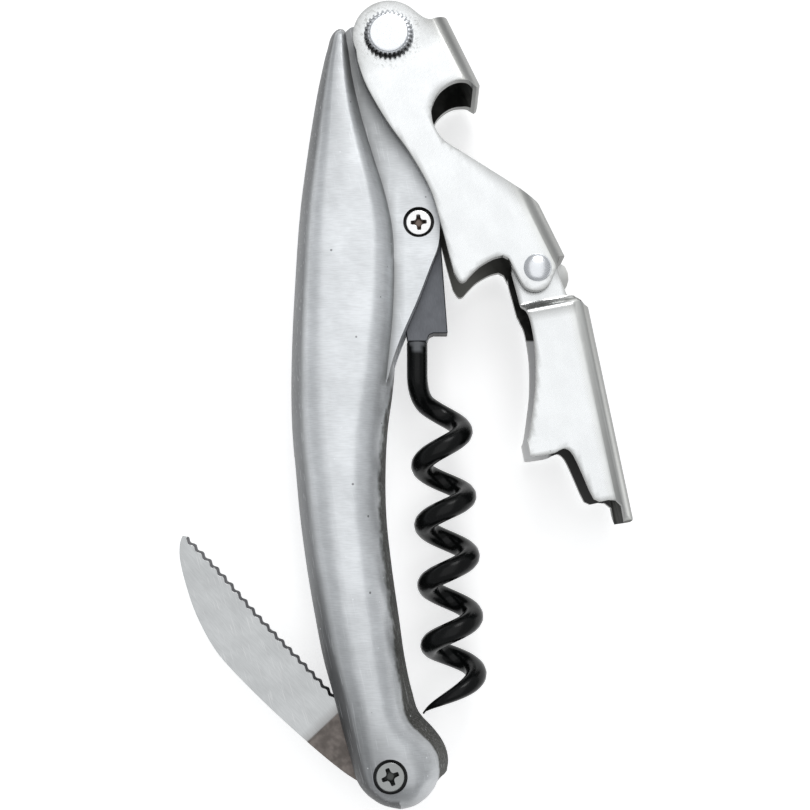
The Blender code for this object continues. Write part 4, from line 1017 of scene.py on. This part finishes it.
def mark_lever(lever, outline, spine, broad):
    """Mark bends, steep faces, broad shaded places and cut edges for painted shade, faces inside the
    channel, coloured near black, and the inner rim and tongue faces that get painted light.
    """
    second = spine == STEP_SPINE
    edge = kdtree.KDTree(12 * len(outline))
    for before, after in zip(outline, outline[1:] + outline[:1]):
        for step in range(12):
            spot = Vector(before).lerp(Vector(after), step / 12)
            edge.insert((*spot, 0), 0)
    edge.balance()

    def to_edge(spot):
        return edge.find((spot.x, spot.y, 0))[2]

    def cheek_inside(middle, normal):
        return middle.z * normal.z < 0 and abs(normal.z) > 0.3

    def inside(middle, normal):
        if not second and 0.255 < middle.x / LEVER_LENGTH < 0.32 and middle.y > 7.5:
            return False
        back = normal.y < -0.7 and abs(middle.z) < 5.0 and middle.y > spine - 1.5
        web = second and 3.9 < abs(middle.z) < 4.3 and abs(normal.z) > 0.9
        return cheek_inside(middle, normal) or back or web

    # Cut edges, for painted shade, lighter round the mouth.
    def cut(middle, normal):
        if to_edge(middle) >= 0.22 or abs(normal.z) >= 0.85:
            return 0
        return 0.25 if not second and math.dist(middle.xy, MOUTH_CENTRE) < 5.2 else 1

    def lip(middle, normal):
        toe = second and middle.x > 0.90 * STEP_LENGTH and middle.y > spine - 2.7
        return toe and abs(middle.z) < 6.0 and (normal.y < -0.2 or cheek_inside(middle, normal))

    # Bends, for painted shade.
    mark(lever, "bend", lambda spot, normal: (spot.y - (spine - BEND_RADIUS - 0.9)) / 1.6)
    # Steep faces, for painted shade.
    mark(lever, "side", lambda spot, normal: (0.70 - abs(normal.z)) / 0.20)
    # Broad shaded places and a band along the outline, for painted shade.
    mark(lever, "shade", lambda spot, normal: max(broad(spot), 0.85 * (1 - to_edge(spot) / 0.42)))
    mark_faces(lever, "inside", inside)
    mark_faces(lever, "cut", cut)
    mark_faces(lever, "rim", lambda middle, normal: normal.z > 0.5 and middle.z < -3)
    mark_faces(lever, "lip", lip)


for name, make, spine, broad, where, body in (
        ("first_lever", first_lever, LEVER_SPINE, first_shade, LEVER, "lever"),
        ("second_lever", second_lever, STEP_SPINE, second_shade, STEP, "step_lever")):
    lever, outline = make()
    ease(lever, 0.25, pitch=0.7,
         cheek=lambda face: abs(face.normal.z) > 0.99 and face.center.z * face.normal.z > 4)
    mark_lever(lever, outline, spine, broad)
    settle(lever, where, body, "plated_plate", plate_metal, name)


# Rivets, screws and nuts

ROUND = 96          # sides of a turned piece
CHEEK = 6.3         # just outside the levers' cheeks
CAP_RIM = 6.75
CAP_TOP = 7.0
KNURL_TEETH = 30
KNURL_OUT, KNURL_IN = 3.64, 3.32


def rivet_cap():
    """The knurled cap with its polished disc."""
    outline = []
    for tooth in range(KNURL_TEETH):
        for share, radius in ((0.0, KNURL_OUT), (0.34, KNURL_OUT), (0.5, KNURL_IN), (0.84, KNURL_IN)):
            angle = 2 * math.pi * (tooth + share) / KNURL_TEETH
            outline.append((radius * math.cos(angle), radius * math.sin(angle)))
    piece = slab("rivet_cap_knurled", outline, CHEEK, CAP_RIM)
    pick_faces(piece, lambda face: face.normal.z > 0.9 and face.center.z > CAP_RIM - 0.05)
    bpy.ops.mesh.extrude_region_move(TRANSFORM_OT_translate={"value": (0, 0, CAP_TOP - CAP_RIM)})
    bpy.ops.transform.resize(value=(0.86, 0.86, 1), center_override=(0, 0, CAP_TOP))
    bpy.ops.object.mode_set(mode="OBJECT")
    disc = ((2.9, 6.5), (2.9, 7.12), (2.85, 7.22), (2.74, 7.28), (2.6, 7.3))
    combine(piece, turned("disc", disc, steps=ROUND), "UNION")
    bore(piece, 2.1, 6, 6.85)
    return piece


def cross_screw(name, pivot, face, head, barrel_top, turn):
    """A screw with a flat head just under the face and a tapered cross in it."""
    top = face - HEAD_SUNK
    piece = turned(name, ((1.1, barrel_top - 1.2), (1.1, top - 0.7), (head, top - 0.7), (head, top - 0.14),
                          (head - 0.04, top - 0.06), (head - 0.14, top)), steps=ROUND)
    arm = 0.68 * head
    outline = []
    for quarter in range(4):
        spin = Matrix.Rotation(math.radians(turn + 90 * quarter), 2)
        for corner in ((arm - 0.08, -0.30), (arm, -0.20), (arm, 0.20), (arm - 0.08, 0.30),
                       (0.68, 0.34), (0.46, 0.46), (0.34, 0.68)):
            outline.append(tuple(spin @ Vector(corner)))
    tool = sheet_of("cross", outline, top + 0.2)

    def deepen():
        bpy.ops.mesh.extrude_region_move(TRANSFORM_OT_translate={"value": (0, 0, -0.75)})
        bpy.ops.transform.resize(value=(0.7, 0.7, 1), center_override=(0, 0, top - 0.55))

    edit(tool, deepen, face_outwards)
    combine(piece, tool)
    ease(piece, 0.03, 2, 40)
    mark(piece, "recess", lambda spot, normal: (
        (top - 0.06 - spot.z) / 0.05 if spot.xy.length < head - 0.3 else 0))
    piece.data.transform(Matrix.Translation((*pivot, 0)))
    return piece


def barrel_nut(name, pivot, face, barrel_top):
    """The nut on the back, with the barrel that the swinging piece turns on."""
    low = HEAD_SUNK - face
    piece = turned(name, ((NUT_HEAD - 0.16, low), (NUT_HEAD - 0.05, low + 0.06), (NUT_HEAD, low + 0.16),
                          (NUT_HEAD, low + 0.6), (BARREL, low + 0.6), (BARREL, barrel_top)), steps=ROUND)
    bore(piece, SCREW_BORE, barrel_top - 2.4, barrel_top + 1)
    piece.data.transform(Matrix.Translation((*pivot, 0)))
    ease(piece, 0.03, 2, 40)
    return piece


for name, pivot, face, head, slot_half, turn, steel in (
        ("worm", WORM_PIVOT, FLANGE_HALF, WORM_SCREW, HUB_SLOT_HALF, 4, bright_steel),
        ("blade", BLADE_PIVOT, BELLY_HALF, BLADE_SCREW, BLADE_SLOT_HALF, 22, grey_steel)):
    screw = cross_screw(name + "_screw_head", pivot, face, head, slot_half - 0.25, turn)
    settle(screw, HANDLE, "handle", "plain_steel", steel, name + "_screw")
    nut = barrel_nut(name + "_nut_head", pivot, face, slot_half - 0.25)
    settle(nut, HANDLE, "handle", "plain_steel", steel, name + "_nut")

cap = rivet_cap()
ease(cap, 0.05, 2, 30)
# Painted shade on the knurled ring: darker in its grooves and towards one side.
shaded_side = Vector((0.70, -0.71))
mark(cap, "recess", lambda spot, normal: 0 if spot.xy.length < 2.93 else (
    0.45 + 0.75 * spot.xy.normalized().dot(shaded_side)
    + (0.5 if spot.xy.length < 3.4 and spot.z < CAP_TOP - 0.05 else 0)))
settle(cap, LEVER, "handle", "plated_plate", cap_steel, "rivet_cap")

pin = turned("lever_rivet_pin", ((1.2, -7.0), (2.2, -6.97), (2.9, -6.82), (3.28, -6.56), (3.4, -CHEEK),
                                 (2.0, -CHEEK), (2.0, 6.7)), steps=ROUND)
ease(pin, 0)
settle(pin, LEVER, "handle", "plated_plate", cap_steel, "lever_rivet")

dome = [(2.0 * x, CHEEK + 0.75 * y) for y, x in arc((0, 0), 1, 6, 90, 12)]
half_pin = dome + [(2.0, CHEEK), (1.3, CHEEK)]
far_pin = [(radius, -height) for radius, height in half_pin]
step_pin = turned("step_rivet_dome", far_pin + half_pin[::-1], STEP_RIVET)
ease(step_pin, 0)
settle(step_pin, LEVER, "lever", "plated_plate", cap_steel, "step_rivet")


# Worm and hub

HUB_LENGTH = 17.12
HUB_RIGHT_SHARES = (
    (0.195, -0.203), (0.246, -0.933), (0.125, -0.932), (0.088, -0.948), (0.070, -1.000),
)
HUB_LEFT_SHARES = ((-0.098, -1.000), (-0.135, -0.820), (-0.170, -0.470))
WIRE_RADIUS = 1.52
COIL_RADIUS = 3.13
COIL_TOP = 9.6      # from the hub's end down to the first turn
TIP_DROP = 0.85
WORM_TURNS = 5.0
WORM_PITCH = (0.6213 * HANDLE_LENGTH - HUB_LENGTH - COIL_TOP - TIP_DROP) / WORM_TURNS
TAPER_TURNS = 0.55
SHANK_OFFSET = -0.27


def worm_hub():
    """The flat block that carries the wire, with its bore and the wire's socket."""
    outline = arc((0, 0), 3.1, 180, 0, 40)
    outline += sized(HUB_RIGHT_SHARES, HUB_LENGTH)
    outline += sized(HUB_LEFT_SHARES, HUB_LENGTH)
    piece = slab("worm_hub_block", outline, -1.6, 1.6)
    bore(piece, BARREL_BORE, -5, 5)
    socket = turned("socket", ((1.25, -2), (1.25, 4.25)))
    socket.data.transform(Matrix.Translation((SHANK_OFFSET, -HUB_LENGTH, 0))
                          @ Matrix.Rotation(-math.pi / 2, 4, "X"))
    combine(piece, socket)
    ease(piece, 0.18)
    return piece


def helix(turn):
    """A place on the coil's middle line, by turns from the top."""
    angle = math.pi + 2 * math.pi * turn
    drawn = max(1 - (WORM_TURNS - turn) / TAPER_TURNS, 0) ** 2
    radius = COIL_RADIUS + 1.45 * drawn
    fall = (WORM_PITCH * turn - 2.4 * max(1 - turn, 0) ** 1.5
            - 0.5 * math.sin(math.pi * max(turn - 4, 0)))
    return Vector((3.02 + 0.0505 * fall + radius * math.cos(angle),
                   -HUB_LENGTH - COIL_TOP - fall - TIP_DROP * drawn, radius * math.sin(angle)))


def worm_line():
    """Middle line and radius of the wire: tenon, shank, bend, coil and drawn-out tip."""
    top = -HUB_LENGTH - 0.04
    line = [((SHANK_OFFSET, top + 4, 0), 1.0), ((SHANK_OFFSET, top, 0), 1.0),
            ((SHANK_OFFSET, top - 0.02, 0), WIRE_RADIUS)]
    first = 0.16
    entry = helix(first)
    ahead = (helix(first + 0.02) - entry).normalized()
    start = Vector((SHANK_OFFSET, top - 4.6, 0))
    line += [((SHANK_OFFSET, top - 0.2 * step, 0), WIRE_RADIUS) for step in range(1, 12)]
    span = (entry - start).length
    bend = 20
    for index in range(bend):
        point = between(start, entry, Vector((0, -0.8 * span, 0)), ahead * span, index / bend)
        line.append((tuple(point), WIRE_RADIUS))
    count = 300
    for index in range(count + 1):
        turn = first + (WORM_TURNS - first) * index / count
        left = min((WORM_TURNS - turn) / TAPER_TURNS, 1)
        line.append((tuple(helix(turn)), WIRE_RADIUS * max(math.sin(left * math.pi / 2), 0.10)))
    return line


def worm():
    """The wire, thickened round its middle line."""
    line = worm_line()
    bpy.ops.object.select_all(action="DESELECT")
    bpy.ops.curve.primitive_bezier_curve_add()
    wire = bpy.context.object
    wire.name = "worm_wire"
    wire.data.splines.clear()
    wire.data.bevel_depth = 1
    wire.data.bevel_resolution = 5
    wire.data.use_fill_caps = True
    spline = wire.data.splines.new("POLY")
    spline.points.add(len(line) - 1)
    for point, (spot, radius) in zip(spline.points, line):
        point.co = (*spot, 1)
        point.radius = radius
    bpy.ops.object.convert(target="MESH")
    piece = bpy.context.object
    edit(piece, face_outwards)
    bpy.ops.object.shade_smooth_by_angle(angle=math.radians(40))
    return piece


hub = worm_hub()
mark(hub, "edge", lambda spot, normal: (
    (0.97 - abs(normal.z)) / 0.15 if spot.y > -HUB_LENGTH + 0.3 or spot.x > 1.3 else 0))
settle(hub, WORM, "screw_arm", "hub_steel", hub_steel, "worm_hub")
wire = worm()
mark(wire, "bare", lambda spot, normal: (
    (spot.y + HUB_LENGTH + 2.3 - 1.55 * abs(spot.x - SHANK_OFFSET)) / 0.5))
settle(wire, WORM, "screw_arm", "coated_wire", black_coat, "worm")


# Blade

BLADE_SPINE_SHARES = (
    (0.040, 0.104), (0.110, 0.122), (0.242, 0.142), (0.401, 0.159), (0.567, 0.169), (0.668, 0.165),
    (0.780, 0.138), (0.873, 0.100), (0.945, 0.062), (0.985, 0.028), (1.000, 0.003),
)
EDGE_SHARES = ((0.985, -0.008), (0.830, -0.014), (0.628, -0.012), (0.445, -0.018), (0.285, -0.022))
HEEL_SHARES = ((0.262, -0.026), (0.240, -0.020), (0.180, -0.022), (0.110, -0.052), (0.075, -0.070))
BLADE_HALF = 0.6
GROUND_HALF = 0.45
EDGE_HALF = 0.08
TOOTH_PITCH = 1.6
TOOTH_DEPTH = 0.32
TOOTH_BAND = 0.40


def toothed_line():
    """The blade's scalloped edge, from its tip to its heel."""
    edge = flowing(sized(EDGE_SHARES, BLADE_LENGTH), 8)
    run = edge[0][0] - edge[-1][0]
    teeth = round(run / TOOTH_PITCH)
    line = []
    for step in range(8 * teeth + 1):
        x = edge[0][0] - run * step / (8 * teeth)
        y = next(a[1] + (b[1] - a[1]) * (a[0] - x) / (a[0] - b[0])
                 for a, b in zip(edge, edge[1:]) if b[0] - 0.01 <= x)
        line.append((x, y + TOOTH_DEPTH * (0.5 - 0.5 * math.cos(step * math.pi / 4))))
    return line


def blade():
    """The blade with its tang, its ground sides and its toothed bevel."""
    line = toothed_line()
    outline = arc((0, 0), 4.3, 300, 85, 36)
    outline += flowing(sized(BLADE_SPINE_SHARES, BLADE_LENGTH), 5)
    outline += line + sized(HEEL_SHARES, BLADE_LENGTH)
    piece = slab("blade_ground", outline, -BLADE_HALF, BLADE_HALF)
    start, wide = RICASSO, BLADE_LENGTH / 2
    ground = [(start, -wide), (BLADE_LENGTH + 2, -wide), (BLADE_LENGTH + 2, wide), (start, wide)]
    past = 0.3
    band = [(x, y - past) for x, y in line] + [(x, y + TOOTH_BAND) for x, y in reversed(line)]
    for side in (-1, 1):
        combine(piece, slab("grind", ground, *sorted((side * GROUND_HALF, side * 3))))
        bevel = slab("edge bevel", band, 0, 2)
        for corner in bevel.data.vertices:
            if corner.co.z < 1:
                gap = min(abs(corner.co.x - x) + abs(corner.co.y - y + past) for x, y in line)
                corner.co.z = EDGE_HALF if gap < 0.01 else GROUND_HALF - 0.03
            corner.co.z *= side
        edit(bevel, face_outwards)
        combine(piece, bevel)
    bore(piece, BARREL_BORE, -3, 3)
    ease(piece, 0.05, 2, 14, pitch=1.5)
    return piece, line, outline


def mark_blade(piece, line, outline):
    """Mark the tang; the ground teeth and the spine's dark corner, for painted shade; and the bright line
    behind the teeth.
    """
    def to(points, middle):
        return min(math.dist(middle.xy, point) for point in points)

    def glint(middle, normal):
        return abs(normal.z) < 0.999 and 0.28 < to(line, middle) < 0.6 and abs(middle.z) > 0.38

    def dark(middle, normal):
        if abs(normal.z) >= 0.999:
            return False
        deep = to(line, middle)
        return (deep < 0.45 and not glint(middle, normal)) or (deep > 1 and to(outline, middle) < 0.3)

    mark(piece, "tang", lambda spot, normal: (RICASSO + 0.05 - spot.x) / 0.1)
    mark_faces(piece, "teeth", dark)
    mark_faces(piece, "glint", glint)


foil_blade, tooth_line, blade_outline = blade()
mark_blade(foil_blade, tooth_line, blade_outline)
settle(foil_blade, BLADE, "foil_blade", "plain_steel", blade_steel, "blade")


# The hidden pieces keep their solids

for node in ("lever_washer_front", "lever_washer_back", "worm_washer_front", "worm_washer_back",
             "blade_washer_front", "blade_washer_back", "back_spring", "spring_pin"):
    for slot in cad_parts[node].material_slots:
        slot.material = plain_steel


# Floor, light and camera

bpy.ops.mesh.primitive_plane_add(size=6.0, location=(0, 0, 0))
floor = bpy.context.object
floor.name = "floor"
floor_finish = bpy.data.materials.new("white floor")
floor_finish.use_nodes = True
tree = floor_finish.node_tree
board = tree.nodes["Principled BSDF"]
board.inputs["Base Color"].default_value = (0.85, 0.85, 0.85, 1)
board.inputs["Roughness"].default_value = 0.9
board.inputs["Specular IOR Level"].default_value = 0.0
# The floor is lifted to white for the camera and for reflections only.
path = tree.nodes.new("ShaderNodeLightPath")
seen = path.outputs["Is Camera Ray"]
for ray in ("Is Glossy Ray", "Is Transmission Ray"):
    either = tree.nodes.new("ShaderNodeMath")
    either.operation = "MAXIMUM"
    tree.links.new(seen, either.inputs[0])
    tree.links.new(path.outputs[ray], either.inputs[1])
    seen = either.outputs[0]
choose = tree.nodes.new("ShaderNodeMixShader")
tree.links.new(seen, choose.inputs["Fac"])
for socket, strength in ((1, 0.0), (2, 0.55)):
    glow = tree.nodes.new("ShaderNodeEmission")
    glow.inputs["Strength"].default_value = strength
    tree.links.new(glow.outputs[0], choose.inputs[socket])
add = tree.nodes.new("ShaderNodeAddShader")
tree.links.new(board.outputs[0], add.inputs[0])
tree.links.new(choose.outputs[0], add.inputs[1])
tree.links.new(add.outputs[0], tree.nodes["Material Output"].inputs["Surface"])
floor.data.materials.append(floor_finish)

world = bpy.data.worlds.new("studio")
scene.world = world
world.use_nodes = True
world.node_tree.nodes["Background"].inputs["Color"].default_value = (0.96, 0.98, 1.0, 1)
world.node_tree.nodes["Background"].inputs["Strength"].default_value = 0.45


def area_lamp(name, stand, aim, width, height, brightness):
    """A soft flat lamp whose face shines as brightly as white paper does at a brightness of 1."""
    lamp = bpy.data.lights.new(name, "AREA")
    lamp.shape = "RECTANGLE"
    lamp.size = width
    lamp.size_y = height
    lamp.energy = brightness * math.pi * width * height
    holder = bpy.data.objects.new(name, lamp)
    scene.collection.objects.link(holder)
    holder.location = stand
    holder.rotation_euler = (Vector(aim) - Vector(stand)).to_track_quat("-Z", "Y").to_euler()


area_lamp("overhead", (0.0, 0.0, 0.60), (0, 0, 0), 0.62, 0.90, 0.60)
area_lamp("window", (0.06, 0.34, 0.30), (0, 0, 0), 0.17, 0.17, 5.2)

# The camera stands where the photograph was taken from, about 18 cm above the tool.
CAMERA_FROM_AIM = Vector((2.764, -21.382, 180.0)) * 0.001
AIM = Vector((0.105, -1.14, 7.4)) * 0.001
lens = bpy.data.cameras.new("photo camera")
lens.lens = 55
lens.sensor_width = 36
lens.clip_start = 0.005
camera = bpy.data.objects.new("photo camera", lens)
scene.collection.objects.link(camera)
back = CAMERA_FROM_AIM.normalized()
across = Vector((0, 1, 0)).cross(back).normalized()
up = back.cross(across)
turn = Matrix((across, up, back)).transposed().to_4x4()
camera.matrix_world = Matrix.Translation(AIM + CAMERA_FROM_AIM) @ turn
scene.camera = camera
scene.view_settings.view_transform = "Standard"
